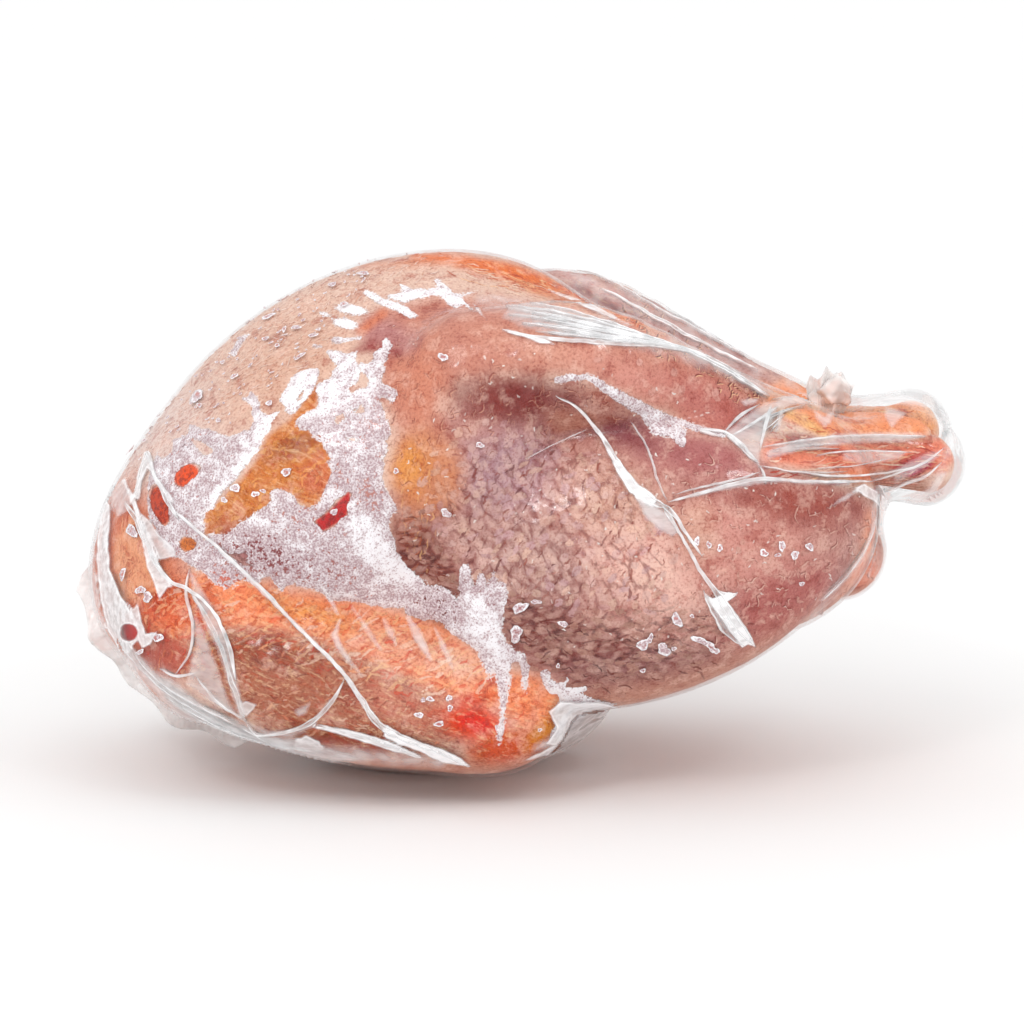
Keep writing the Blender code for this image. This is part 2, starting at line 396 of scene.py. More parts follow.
def solvedGrid(name):
    # a coarse grid finds the surface, and the fine grid starts half a millimetre off it
    origins, directions = spineRays(*spine["coarse"])
    reach = np.full(len(origins), spine["outside"])
    reach = marchedIn(name, origins, directions, reach, spine["coarseRounds"])
    reach = enlarged(reach, *spine["coarse"], spine["rows"], spine["columns"])
    origins, directions = spineRays(spine["rows"], spine["columns"])
    reach = marchedIn(name, origins, directions, reach + 0.5, spine["fineRounds"])
    return origins + directions * reach[:, None]


def ringQuads(rows, sides):
    # quads between neighbouring rings of points
    i, j = np.meshgrid(np.arange(rows - 1), np.arange(sides), indexing="ij")
    after = (j + 1) % sides
    return np.stack((i * sides + j, (i + 1) * sides + j, (i + 1) * sides + after,
                     i * sides + after), axis=-1).reshape(-1, 4)


def gridFaces(rows, columns):
    # quads round the rows, and a fan of triangles at each pole
    quads = ringQuads(rows, columns)
    j = np.arange(columns)
    after = (j + 1) % columns
    first, last = rows * columns, rows * columns + 1
    start = np.column_stack((np.full(columns, first), j, after))
    far = (rows - 1) * columns
    end = np.column_stack((np.full(columns, last), far + after, far + j))
    return quads, np.vstack((start, end))


backwards = (0, 3, 2, 1)     # the corners of a quad the other way round


def newPiece(name, points, quads, triangles=None, attributes=None, material=None):
    # writes a mesh from whole arrays, in metres, with its faces turned outwards
    points = np.asarray(points, float)
    if triangles is None:
        triangles = np.zeros((0, 3), int)
    a, b, c, d = (points[quads[:, k]] for k in range(4))
    volume = np.einsum("ij,ij->i", a, np.cross(b, c)).sum()
    volume += np.einsum("ij,ij->i", a, np.cross(c, d)).sum()
    if volume < 0:
        quads, triangles = quads[:, ::-1], triangles[:, ::-1]
    mesh = bpy.data.meshes.new(name)
    mesh.vertices.add(len(points))
    mesh.vertices.foreach_set("co", (points * mm).astype(np.float32).ravel())
    corners = np.concatenate((quads.ravel(), triangles.ravel())).astype(np.int32)
    sizes = np.concatenate((np.full(len(quads), 4), np.full(len(triangles), 3)))
    starts = (np.cumsum(sizes) - sizes).astype(np.int32)
    mesh.loops.add(len(corners))
    mesh.loops.foreach_set("vertex_index", corners)
    mesh.polygons.add(len(sizes))
    mesh.polygons.foreach_set("loop_start", starts)
    mesh.update(calc_edges=True)
    mesh.validate()
    mesh.shade_smooth()
    for key, values in (attributes or {}).items():
        if values.ndim == 2:
            layer = mesh.attributes.new(key, "FLOAT_COLOR", "POINT")
            rgba = np.column_stack((values, np.ones(len(values))))
            layer.data.foreach_set("color", rgba.astype(np.float32).ravel())
        else:
            layer = mesh.attributes.new(key, "FLOAT", "POINT")
            layer.data.foreach_set("value", values.astype(np.float32))
    piece = bpy.data.objects.new(name, mesh)
    bpy.context.scene.collection.objects.link(piece)
    if material:
        mesh.materials.append(material)
    return piece


# What is where on the bird, in the photograph's pixels

tones = (     # name, colour as seen (sRGB), softness of the edge, shape; painted in this order
    ("breastLow", (240, 216, 206), 45, ("oval", 165, 450, 70, 60, -45)),
    ("breastRuddy", (232, 192, 170), 30, ("oval", 290, 370, 75, 40, -38)),
    ("neckEnd", (224, 134, 102), 20, ("oval", 130, 590, 60, 110, -12)),
    ("crest", (226, 150, 116), 7, ("stroke", (5, 13, 16), (
        (352, 266), (441, 259), (487, 266), (545, 282)))),
    ("bellyBand", (236, 160, 122), 7, ("stroke", (13, 26, 22, 8),
                                      ((500, 272), (550, 287), (612, 312), (662, 342)))),
    ("crestBright", (240, 134, 78), 4, ("stroke", (4, 9, 9, 8, 4), (
        (412, 255), (470, 262), (537, 280), (590, 300), (644, 328)))),
    ("drumstick", (214, 150, 132), 12, ("outline", (
        (372, 320), (400, 303), (440, 296), (500, 300), (545, 306), (606, 322), (655, 340),
        (701, 355), (763, 385), (768, 402), (742, 430), (712, 436), (686, 428), (640, 404),
        (600, 384), (560, 374), (500, 372), (455, 382), (425, 404), (405, 430), (388, 400)))),
    ("drumstickCrown", (226, 168, 148), 16, ("oval", 545, 345, 62, 14, 12)),
    ("drumstickMid", (228, 162, 148), 16, ("oval", 640, 380, 44, 16, 22)),
    ("drumstickPink", (208, 134, 124), 16, ("oval", 700, 400, 46, 22, 25)),
    ("drumstickEnd", (204, 122, 112), 8, ("oval", 742, 418, 20, 14, 20)),
    ("thigh", (206, 152, 142), 10, ("outline", (
        (400, 440), (430, 420), (470, 400), (560, 398), (640, 418), (700, 440), (757, 462),
        (830, 480), (880, 510), (884, 560), (868, 604), (820, 645), (760, 678), (690, 700),
        (620, 716), (560, 696), (510, 655), (450, 625), (405, 575), (390, 500)))),
    ("thighMauve", (198, 158, 164), 22, ("oval", 505, 475, 55, 42, -20)),
    ("thighGrey", (198, 158, 150), 24, ("oval", 520, 560, 70, 46, 20)),
    ("thighPeach", (216, 168, 150), 22, ("oval", 612, 500, 52, 34, 20)),
    ("thighPeachLow", (248, 204, 190), 24, ("oval", 655, 570, 62, 42, 20)),
    ("thighBrown", (148, 82, 72), 16, ("oval", 430, 578, 34, 62, -32)),
    ("thighBrownLow", (156, 98, 92), 20, ("oval", 560, 640, 88, 30, 18)),
    # painted shade: the thigh's lower side is darker where it turns down away from the light
    ("thighUnderShade", (152, 104, 108), 18, ("oval", 640, 684, 120, 28, -8)),
    ("rearMid", (224, 164, 152), 22, ("oval", 742, 548, 66, 46, 12)),
    ("rearPale", (226, 176, 158), 14, ("oval", 695, 530, 22, 30, 0)),
    ("rearPurple", (176, 98, 88), 16, ("oval", 795, 503, 70, 22, 6)),
    ("rearLow", (194, 120, 114), 20, ("oval", 790, 610, 66, 40, -20)),
    ("rearEdge", (255, 186, 156), 8, ("stroke", (8, 14, 8), ((872, 515), (866, 555), (842, 600)))),
    ("midPurple", (188, 120, 118), 14, ("oval", 705, 457, 60, 22, 10)),
    # hollow and hollowTail: painted shade in the crease between drumstick and thigh, over the dark meat
    # that shows through the skin there
    ("hollow", (148, 78, 74), 15, ("oval", 528, 402, 76, 22, 4)),
    ("hollowTail", (154, 90, 94), 14, ("oval", 614, 424, 56, 18, 18)),
    ("hollowGlow", (176, 98, 84), 8, ("oval", 600, 398, 26, 8, 24)),
    ("kneeSide", (222, 150, 126), 18, ("oval", 417, 385, 26, 50, 0)),
    ("fatBelow", (182, 104, 80), 12, ("oval", 412, 514, 18, 26, 0)),
    ("fatRing", (224, 152, 114), 14, ("oval", 430, 476, 36, 42, 0)),
    ("fatBright", (240, 166, 96), 14, ("oval", 409, 466, 17, 24, 10)),
    ("plumCorner", (200, 142, 138), 9, ("oval", 388, 334, 26, 16, 10)),
    ("plumLine", (168, 84, 82), 5, ("stroke", (4, 8, 4), ((352, 352), (372, 346), (396, 352)))),
    ("kneeOrange", (226, 140, 108), 5, ("stroke", (5, 8), ((362, 330), (384, 314)))),
    ("amber", (222, 142, 84), 4, ("outline", (
        (315, 390), (292, 421), (267, 437), (260, 457), (225, 499), (205, 515), (198, 526),
        (209, 537), (241, 530), (262, 514), (276, 494), (292, 496), (303, 507), (316, 514),
        (328, 489), (337, 471), (335, 450), (316, 432), (303, 427), (318, 411)))),
    ("amberRose", (221, 130, 92), 8, ("oval", 318, 478, 16, 22, 20)),
    ("amberBrown", (190, 118, 74), 7, ("oval", 292, 448, 26, 10, -20)),
    ("underFrost", (170, 98, 100), 16, ("oval", 280, 555, 60, 22, 15)),
    ("cutRed", (205, 40, 30), 2, ("outline", (
        (350, 488), (353, 500), (346, 520), (320, 534), (313, 520), (330, 508)))),
    ("wing", (255, 160, 114), 10, ("outline", (
        (150, 590), (205, 570), (262, 583), (331, 596), (404, 612), (452, 630), (492, 668),
        (540, 675), (575, 700), (540, 745), (500, 712), (440, 694), (380, 662), (300, 634),
        (240, 628), (190, 632), (155, 625)))),
    ("wingPale", (245, 176, 146), 14, ("oval", 395, 650, 60, 16, 22)),
    ("wingCream", (246, 200, 176), 11, ("oval", 456, 664, 32, 15, 25)),
    ("wingGold", (250, 172, 100), 9, ("oval", 312, 615, 36, 9, 18)),
    ("wingBack", (188, 122, 98), 15, ("outline", (
        (196, 640), (255, 630), (318, 640), (378, 668), (440, 700), (470, 742), (400, 742),
        (300, 738), (225, 712), (196, 680)))),
    ("wingBackRosy", (216, 146, 124), 14, ("oval", 400, 706, 46, 20, 15)),
    ("wingBackBrown", (166, 98, 78), 12, ("oval", 258, 652, 50, 14, 12)),
    ("wingUnder", (158, 74, 40), 9, ("oval", 345, 745, 90, 15, 5)),
    ("wingRed", (240, 66, 4), 12, ("oval", 474, 722, 36, 20, 15)),
    ("wingRedBand", (226, 60, 36), 4, ("oval", 476, 698, 20, 5, -14)),
    ("elbow", (222, 96, 2), 10, ("oval", 512, 750, 44, 20, -12)),
    ("elbowGold", (226, 146, 60), 8, ("oval", 548, 728, 26, 10, -38)),
    ("neckFlesh", (234, 120, 84), 9, ("oval", 182, 606, 40, 24, 10)),
    ("neckPink", (196, 104, 88), 8, ("oval", 165, 655, 28, 17, 10)),
    ("neckWindow", (244, 176, 138), 5, ("outline", (
        (133, 515), (117, 539), (114, 569), (124, 598), (150, 602), (156, 579), (144, 549)))),
    ("redOval", (240, 98, 44), 1, ("oval", 186, 475, 13, 11, -30)),
    ("darkOval", (206, 84, 46), 1, ("oval", 160, 506, 10, 20, -12)),
    ("orangeSpot", (222, 130, 72), 1, ("oval", 188, 544, 9, 7, 0)),
    ("redDot", (200, 56, 44), 1, ("oval", 129, 632, 12, 11, 0)),
    ("shankFar", (252, 168, 122), 7, ("stroke", (18, 30, 30), ((770, 405), (830, 420), (915, 422)))),
    ("shankNear", (246, 150, 122), 8, ("stroke", (22, 36, 34), ((770, 452), (850, 458), (935, 458)))),
    ("shankRed", (205, 92, 94), 6, ("oval", 906, 468, 24, 9, -24)),
    ("shankGlow", (243, 140, 96), 6, ("oval", 858, 476, 30, 7, 0)),
    ("tendon", (253, 200, 140), 3, ("stroke", (6, 12, 5), ((781, 409), (803, 420), (826, 436)))),
    ("tendonShade", (160, 84, 76), 4, ("oval", 800, 440, 20, 6, 5)),
    ("hockPlum", (196, 74, 104), 3, ("stroke", (3, 7, 5), ((872, 492), (900, 480), (930, 462)))),
    ("hockBlood", (196, 52, 60), 3, ("oval", 898, 486, 9, 5, 0)),
    ("hockBone", (241, 206, 190), 5, ("oval", 924, 484, 16, 8, -20)),
    ("tailPink", (238, 150, 126), 7, ("oval", 868, 584, 14, 24, -10)),
    ("underRosy", (196, 120, 108), 8, ("oval", 820, 628, 36, 12, -32)),
    ("legCrest", (186, 118, 100), 4, ("stroke", (5, 8, 6), ((688, 362), (725, 376), (763, 398)))),
)
veil = 0.042                     # white that the film and the sheen add over every tone
baseTone = (236, 205, 188)       # the breast
backTone = (205, 146, 124)       # the back, which the photograph does not show

farTones = (  # the same for the far leg, which shows above the near one
    ("farLeg", (206, 164, 156), 5, ("outline", (
        (520, 262), (560, 262), (620, 280), (700, 322), (800, 365), (770, 385), (700, 356),
        (650, 330), (612, 303), (579, 287), (540, 276)))),
    ("farShade", (158, 92, 86), 5, ("stroke", (3, 9, 10, 6), (
        (560, 283), (610, 299), (655, 322), (720, 352)))),
    # the far shank's orange flesh, made lighter than its own tone to make up for the shade between the
    # shanks: painted light
    ("farShankLightened", (255, 188, 136), 6, ("stroke", (14, 30, 26), ((780, 412), (840, 422), (925, 424)))),
    ("farBand", (222, 184, 178), 3, ("stroke", (4, 9, 10, 9, 5), (
        (550, 268), (590, 282), (620, 297), (665, 325), (720, 352)))),
    ("farRed", (184, 92, 66), 3, ("stroke", (3, 7, 8, 6, 3), (
        (606, 270), (636, 286), (658, 303), (690, 326), (740, 356)))),
    ("farDark", (138, 62, 56), 3, ("stroke", (3, 6, 8, 5), (
        (560, 281), (600, 299), (625, 315), (660, 338)))),
    ("farRust", (196, 128, 106), 4, ("stroke", (3, 6, 4), (
        (600, 282), (660, 314), (720, 344)))),
)


def seenTone(across, down, warp):
    # mixes the zones one over another, each with a soft edge that the warp makes uneven
    tone = np.tile(linear(baseTone), (len(across), 1))
    for _, colour, soft, shape in tones:
        depth = depthIn(across, down, shape) + warp * min(9.0, 0.35 * soft + 2.0)
        share = eased(-soft, soft, depth)[:, None]
        tone = tone * (1 - share) + linear(colour) * share
    return np.clip(tone - veil, 0.003, 1)


frostShapes = {     # solid frost, as depth in pixels inside its outline
    "mass": ("outline", (
        (327, 352), (335, 351), (347, 353), (360, 351), (374, 353), (380, 350), (384, 349), (383, 342),
        (388, 338), (393, 346), (388, 350), (388, 357), (389, 360), (384, 364), (386, 370), (388, 373),
        (381, 376), (381, 380), (384, 385), (390, 387), (396, 389), (398, 393), (397, 400), (396, 404),
        (392, 404), (388, 398), (382, 395), (379, 398), (378, 401), (381, 406), (385, 415), (388, 421),
        (389, 427), (392, 434), (388, 437), (383, 440), (386, 446), (387, 452), (384, 460), (383, 466),
        (383, 479), (386, 489), (392, 497), (397, 504), (397, 512), (391, 517), (388, 523), (389, 530),
        (394, 538), (396, 549), (404, 560), (412, 570), (421, 580), (425, 584), (434, 585), (441, 586),
        (450, 592), (458, 599), (463, 604), (470, 620), (482, 664), (475, 651), (470, 644), (456, 636),
        (450, 631), (442, 624), (432, 619), (426, 622), (415, 617), (407, 613), (406, 606), (400, 607),
        (380, 606), (358, 603), (340, 600), (329, 602), (322, 595), (314, 591), (305, 587), (297, 586),
        (296, 582), (293, 582), (287, 586), (282, 591), (276, 584), (271, 576), (265, 577), (259, 585),
        (250, 582), (240, 576), (232, 570), (222, 558), (206, 545), (206, 535), (226, 533), (232, 529),
        (240, 524), (246, 520), (251, 514), (260, 510), (267, 507), (271, 502), (271, 491), (280, 489),
        (286, 491), (294, 497), (300, 504), (309, 509), (311, 509), (319, 501), (324, 494), (326, 485),
        (330, 476), (335, 471), (330, 471), (327, 462), (333, 459), (329, 457), (327, 454), (322, 446),
        (316, 441), (309, 432), (305, 432), (299, 430), (294, 424), (296, 419), (306, 413), (317, 409),
        (319, 404), (319, 395), (316, 391), (316, 388), (318, 384), (327, 379), (333, 377), (331, 371),
        (336, 366), (331, 359))),
    "leftBand": ("outline", (
        (249, 390), (252, 389), (259, 397), (262, 409), (265, 414), (270, 415), (281, 409), (283, 412),
        (278, 416), (273, 422), (272, 430), (265, 435), (261, 444), (260, 451), (252, 460), (242, 472),
        (234, 481), (224, 491), (216, 502), (213, 510), (206, 512), (198, 522), (188, 520), (178, 500),
        (176, 480), (178, 455), (184, 440), (190, 424), (200, 427), (211, 429), (219, 434), (229, 437),
        (245, 431), (252, 426), (254, 421), (250, 409), (246, 402), (241, 400), (244, 397), (248, 397))),
    "slab": ("outline", (
        (280, 401), (283, 392), (290, 384), (291, 378), (300, 371), (318, 369), (319, 373), (316, 382),
        (310, 395), (302, 405), (296, 413), (290, 416), (285, 412), (285, 407))),
    "spike": ("outline", (
        (458, 600), (459, 590), (459, 582), (461, 570), (464, 564), (468, 564), (472, 570), (473, 579),
        (475, 583), (478, 574), (480, 571), (484, 574), (486, 580), (486, 590), (488, 580), (490, 574),
        (494, 571), (497, 575), (498, 583), (500, 582), (504, 584), (508, 592), (507, 599), (506, 603),
        (504, 615), (502, 622), (503, 632), (509, 642), (516, 649), (524, 652), (527, 660), (531, 665),
        (528, 675), (529, 685), (525, 693), (521, 683), (520, 662), (511, 662), (511, 676), (509, 691),
        (508, 704), (505, 720), (502, 735), (498, 744), (496, 736), (499, 720), (500, 704), (501, 685),
        (500, 666), (494, 665), (494, 672), (492, 683), (487, 680), (484, 672), (476, 652), (470, 640))),
    "spikeCore": ("stroke", (22, 16, 11, 8, 2), (
        (488, 640), (499, 664), (503, 690), (502, 716), (498, 744))),
    "fringe": ("outline", (
        (539, 670), (549, 669), (552, 672), (553, 677), (557, 682), (564, 682), (567, 677), (569, 679),
        (566, 686), (572, 686), (579, 687), (584, 685), (589, 686), (587, 691), (580, 692), (590, 697),
        (602, 701), (616, 704), (604, 707), (590, 712), (576, 724), (564, 736), (554, 742), (548, 738),
        (556, 724), (563, 713), (569, 706), (561, 712), (554, 715), (553, 709), (557, 702), (556, 695),
        (550, 696), (546, 692), (540, 681), (539, 675))),
    "legRidge": ("stroke", (5, 7, 6, 9, 12, 9, 4), (
        (556, 381), (570, 377), (588, 377), (612, 391), (640, 408), (668, 419), (724, 436))),
    "legDrift": ("outline", ((634, 408), (668, 422), (688, 430), (683, 446), (670, 436), (652, 436))),
    "fingerA": ("outline", ((362, 294), (366, 290), (376, 293), (384, 299), (392, 302), (400, 304),
                            (408, 308), (417, 316), (410, 318), (398, 312), (388, 308), (376, 303))),
    "fingerB": ("outline", ((400, 285), (404, 286), (410, 290), (420, 289), (428, 290), (437, 287),
                            (434, 280), (438, 279), (446, 285), (453, 292), (462, 294), (470, 292),
                            (482, 291), (470, 296), (462, 298), (468, 304), (476, 312), (470, 311),
                            (462, 306), (456, 309), (450, 307), (444, 300), (438, 296), (428, 298),
                            (416, 300), (404, 303), (396, 300), (388, 296), (398, 294), (404, 291))),
    "ovalA": ("oval", 352, 310, 16, 5.0, 10),
    "ovalB": ("oval", 346, 324, 13, 5.0, 10),
    "ovalC": ("oval", 324, 314, 7, 2.2, 14),
    "thinA": ("outline", ((332, 339), (336, 337), (350, 339), (362, 337), (360, 341), (350, 341),
                          (340, 343), (333, 342))),
    "thinB": ("outline", ((312, 344), (316, 343), (322, 347), (316, 350), (312, 348))),
    "breastBitA": ("outline", ((229, 357), (231, 350), (238, 341), (250, 334), (243, 343), (239, 352),
                               (233, 358))),
    "breastBitB": ("oval", 197, 396, 8, 3.6, -50),
    "neckFrost": ("outline", (
        (150, 464), (160, 452), (172, 442), (184, 436), (200, 432), (206, 470), (206, 515), (204, 540),
        (226, 556), (246, 574), (228, 592), (219, 586), (212, 581), (202, 574), (196, 570), (186, 563),
        (172, 556), (160, 540), (150, 520), (148, 500))),
}
frostHoles = {
    "clumpGap": ("outline", ((356, 359), (360, 346), (374, 346), (373, 362), (367, 366), (362, 363),
                             (358, 363))),
    "clumpSlit": ("stroke", (2.5, 2.5), ((358, 362), (362, 373))),
    "bigHole": ("outline", ((361, 372), (366, 374), (369, 380), (368, 386), (364, 389), (359, 389),
                            (352, 394), (348, 389), (350, 386), (355, 384), (358, 381), (359, 376))),
    "redHole": ("outline", ((335, 416), (339, 414), (344, 411), (346, 413), (344, 418), (339, 424),
                            (335, 425), (334, 420))),
    "thinHole": ("outline", ((349, 408), (359, 410), (360, 404), (363, 404), (364, 412), (360, 414),
                             (354, 411))),
    "rightBay": ("outline", ((379, 399), (382, 396), (388, 399), (392, 405), (388, 409), (388, 416),
                             (384, 411), (380, 403))),
    "lowSlit": ("stroke", (1, 3, 1), ((346, 437), (352, 439), (358, 441))),
    "slabGap": ("stroke", (1, 3, 1), ((304, 391), (301, 396), (297, 401))),
    "bandHole": ("outline", ((192, 439), (202, 442), (215, 449), (221, 448), (212, 455), (204, 456),
                             (199, 451))),
    "skinPatch": ("oval", 166, 446, 8, 12, 20),
    "spikeSlit": ("stroke", (3, 2), ((475, 570), (474, 584))),
}
solidity = (       # how closed and white the frost is: value, softness, shape
    (0.85, 10, ("outline", ((300, 369), (360, 350), (384, 366), (360, 400), (316, 420), (318, 390)))),
    (0.50, 12, ("outline", ((316, 420), (392, 392), (390, 470), (400, 520), (360, 530), (330, 470)))),
    (0.20, 12, ("oval", 372, 424, 7, 16, 10)),
    (0.25, 6, ("oval", 344, 478, 7, 14, 30)),
    (0.95, 9, ("outline", ((352, 504), (366, 508), (398, 552), (420, 580), (400, 592), (368, 560),
                           (348, 524)))),
    (0.40, 12, ("oval", 312, 524, 36, 22, 0)),
    (0.10, 15, ("oval", 272, 556, 58, 20, 12)),
    (0.28, 14, ("oval", 330, 566, 40, 20, 20)),
    (0.10, 8, ("oval", 224, 578, 22, 9, 30)),
    (0.50, 8, ("oval", 410, 600, 34, 12, 24)),
    (0.55, 10, ("outline", ((188, 424), (252, 424), (250, 470), (214, 512), (180, 510), (176, 450)))),
    (1.00, 6, ("stroke", (16, 12, 10, 12), ((274, 404), (258, 448), (228, 482), (208, 512)))),
    (1.00, 8, ("oval", 294, 392, 26, 26, 0)),
    (1.00, 10, ("oval", 420, 302, 95, 36, 0)),
    (0.50, 10, ("oval", 165, 520, 34, 60, -10)),
    (0.45, 7, ("oval", 484, 588, 28, 22, 0)),
    (0.90, 8, ("stroke", (22, 26, 20, 8), ((474, 606), (486, 630), (496, 656), (504, 676)))),
    (0.70, 6, ("stroke", (10, 8, 4), ((505, 676), (504, 700), (499, 742)))),
    (0.95, 6, ("oval", 575, 706, 44, 26, 0)),
    (1.40, 4, ("oval", 346, 317, 26, 20, 0)),
    (0.45, 12, ("oval", 304, 542, 22, 12, 20)),
    (0.15, 10, ("oval", 370, 498, 12, 16, 0)),
    (0.25, 10, ("oval", 440, 606, 26, 10, 24)),
)


def frostSolidity(across, down):
    value = np.full(len(across), 0.6)
    for amount, soft, shape in solidity:
        share = eased(-soft, soft, depthIn(across, down, shape))
        value = value * (1 - share) + amount * share
    return value


windows = {      # where the skin shows sharply through the frost, in the skin's own tone
    "redOval": ("outline", ((175, 482), (176, 474), (184, 466), (194, 463), (202, 466), (200, 473),
                            (192, 480), (184, 487), (178, 487))),
    "darkOval": ("outline", ((149, 494), (152, 485), (158, 484), (165, 494), (169, 508), (170, 522),
                             (166, 527), (158, 520), (152, 508))),
    "orangeSpot": ("outline", ((179, 541), (184, 536), (192, 537), (197, 543), (194, 550), (186, 552),
                               (180, 548))),
    "cutRed": ("outline", ((348, 491), (352, 493), (349, 499), (347, 506), (348, 515), (341, 518),
                           (339, 521), (332, 528), (324, 531), (319, 526), (314, 522), (326, 512),
                           (332, 505), (341, 497))),
    "bandRed": ("outline", ((219, 547), (229, 554), (246, 553), (248, 556), (246, 562), (255, 566),
                            (244, 566), (231, 556))),
}
clearings = {    # where the clouded film lets the skin show, though no frost lies there
    "redDot": ("oval", 129, 632, 8, 8, 0),
    "neck": ("outline", ((133, 515), (121, 528), (116, 545), (114, 566), (118, 582), (124, 592),
                         (126, 601), (134, 608), (140, 600), (139, 586), (148, 572), (144, 549))),
}


def windowDepth(across, down, shapes=windows):
    depth = np.full(len(across), -60.0)
    for shape in shapes.values():
        depth = np.maximum(depth, depthIn(across, down, shape))
    return depth + 1.0 * roughness(np.column_stack((across, down)), 5, 250, 2)


frostRags = {"middle": (12.0, 2.4), "fine": (4.0, 1.8)}    # size and reach in pixels


def frostDepth(across, down, seed=0):
    # depth inside the frost in pixels, with ragged edges; below 0 is bare skin
    depth = np.full(len(across), -float(boxReach))
    for shape in frostShapes.values():
        depth = np.maximum(depth, np.clip(depthIn(across, down, shape), -boxReach, 16))
    for shape in frostHoles.values():
        depth = np.minimum(depth, -depthIn(across, down, shape) * 1.2)
    plane = np.column_stack((across, down))
    room = eased(-12, 2, depth) * (1.6 - frostSolidity(across, down))
    for k, (size, reach) in enumerate(frostRags.values()):
        depth = depth + roughness(plane, size, 40 + 7 * k + seed, 2) * reach * room
    return np.minimum(depth, -windowDepth(across, down) * 1.5)


farDrift = {"over": 14, "pixels": 16}     # mm past the middle, and how far things move there


def placesOn(points):
    # the photograph's pixels for the near half, and for the far half as in a mirror
    mirrored = points * np.array((1, 0, 1)) + np.array((0, -1, 0)) * np.abs(points[:, 1:2])
    drift = eased(0, farDrift["over"], points[:, 1]) * farDrift["pixels"]
    across, down = toPhoto(mirrored)
    across = across + drift * roughness(points, 55, 11, 2)
    down = down + drift * roughness(points, 50, 12, 2)
    return across, down


# The skin

skin = {
    "frostLift": 0.15,           # mm, the skin's own swelling under frost
    "streakDepth": 0.30,
    "pimple": 0.35,
    "pimplePixels": 5.0,
    "pimples": ((622, 355), (652, 368), (606, 363), (637, 377), (674, 386), (649, 389),
                (686, 374), (704, 395), (723, 417), (443, 357), (668, 400), (594, 350),
                (700, 412), (660, 405)),
    "mottle": 0.35,
}
zoneShapes = {     # where each texture shows: shape and softness
    "grain": ((("outline", (
        (150, 575), (262, 585), (404, 614), (492, 670), (580, 700), (520, 768), (440, 768),
        (300, 760), (200, 700), (160, 640))), 14),
        (("outline", ((315, 390), (205, 515), (209, 537), (276, 494), (316, 514), (337, 471))), 8),
        (("stroke", (30, 40), ((780, 430), (935, 450))), 8),
        (("stroke", (16, 30, 20), ((470, 266), (550, 286), (660, 340))), 8)),
    "fleck": ((("outline", (
        (110, 500), (130, 440), (200, 350), (280, 285), (360, 255), (480, 250), (480, 275),
        (380, 300), (330, 350), (250, 420), (180, 440))), 18),),
    "scaleUp": ((("outline", (
        (440, 490), (470, 452), (510, 434), (560, 440), (612, 455), (650, 500), (676, 556),
        (660, 600), (600, 614), (530, 598), (478, 586), (450, 550))), 16),),
    "scaleLow": ((("outline", (
        (396, 505), (425, 520), (470, 592), (530, 600), (600, 618), (680, 606), (730, 622),
        (700, 660), (610, 690), (540, 668), (490, 630), (430, 600), (404, 568))), 14),),
}


def zoneShare(key, across, down):
    share = np.zeros(len(across))
    for shape, soft in zoneShapes[key]:
        share = np.maximum(share, eased(-soft, soft, depthIn(across, down, shape)))
    return share


def skinTraits(points, outward, withFar=True):
    # every colour and texture share that the skin's and the frost's material reads
    across, down = placesOn(points)
    warp = roughness(points, 14, 5, 3) + 0.5 * roughness(points, 5, 6, 2)
    tone = seenTone(across, down, warp)
    if withFar:
        trueAcross, trueDown = toPhoto(points)
        faces = eased(-0.02, 0.12, outward @ towardCamera) * eased(1, 4, points[:, 1])
        for _, colour, soft, shape in farTones:
            depth = depthIn(trueAcross, trueDown, shape) + warp * 2
            share = (eased(-soft, soft, depth) * faces)[:, None]
            tone = tone * (1 - share) + (linear(colour) - veil) * share
    under = eased(0.35, 0.85, -outward[:, 2])[:, None]
    tone = tone * (1 - under) + linear(backTone) * under
    traits = {"tone": tone}
    for key in zoneShapes:
        traits[key] = zoneShare(key, across, down) * (1 - under[:, 0])
    depth = frostDepth(across, down) * (1 - 0.5 * under[:, 0]) - 30 * under[:, 0]
    traits["rime"] = eased(-7, 5, depth)
    return traits, across, down, depth


def outwardOf(points, quads, triangles):
    # vertex normals: the sum of the crossed diagonals of the faces round each point
    total = np.zeros_like(points)
    a, b, c, d = (points[quads[:, k]] for k in range(4))
    turned = np.cross(c - a, d - b)
    for k in range(4):
        for axis in range(3):
            total[:, axis] += np.bincount(quads[:, k], turned[:, axis], len(points))
    a, b, c = (points[triangles[:, k]] for k in range(3))
    turned = np.cross(b - a, c - a)
    for k in range(3):
        for axis in range(3):
            total[:, axis] += np.bincount(triangles[:, k], turned[:, axis], len(points))
    total /= np.maximum(np.linalg.norm(total, axis=1), 1e-12)[:, None]
    centre = points.mean(axis=0)
    if np.einsum("ij,ij->i", total, points - centre).mean() < 0:
        total = -total
    return total


regions = (("plain_skin", ()), ("wing_skin", ("grain",)), ("breast_skin", ("fleck",)),
           ("side_skin", ("grain", "fleck")), ("thigh_skin", ("grain", "scale")))


def finishOf(traits, corners):
    # which region's finish each face takes, by the textures that show on it
    shown = {key: (traits[key][corners] > 0.02).any(axis=1) for key in zoneShapes}
    scaled = shown["scaleUp"] | shown["scaleLow"]
    return np.where(scaled, len(regions) - 1, shown["grain"] + 2 * shown["fleck"])


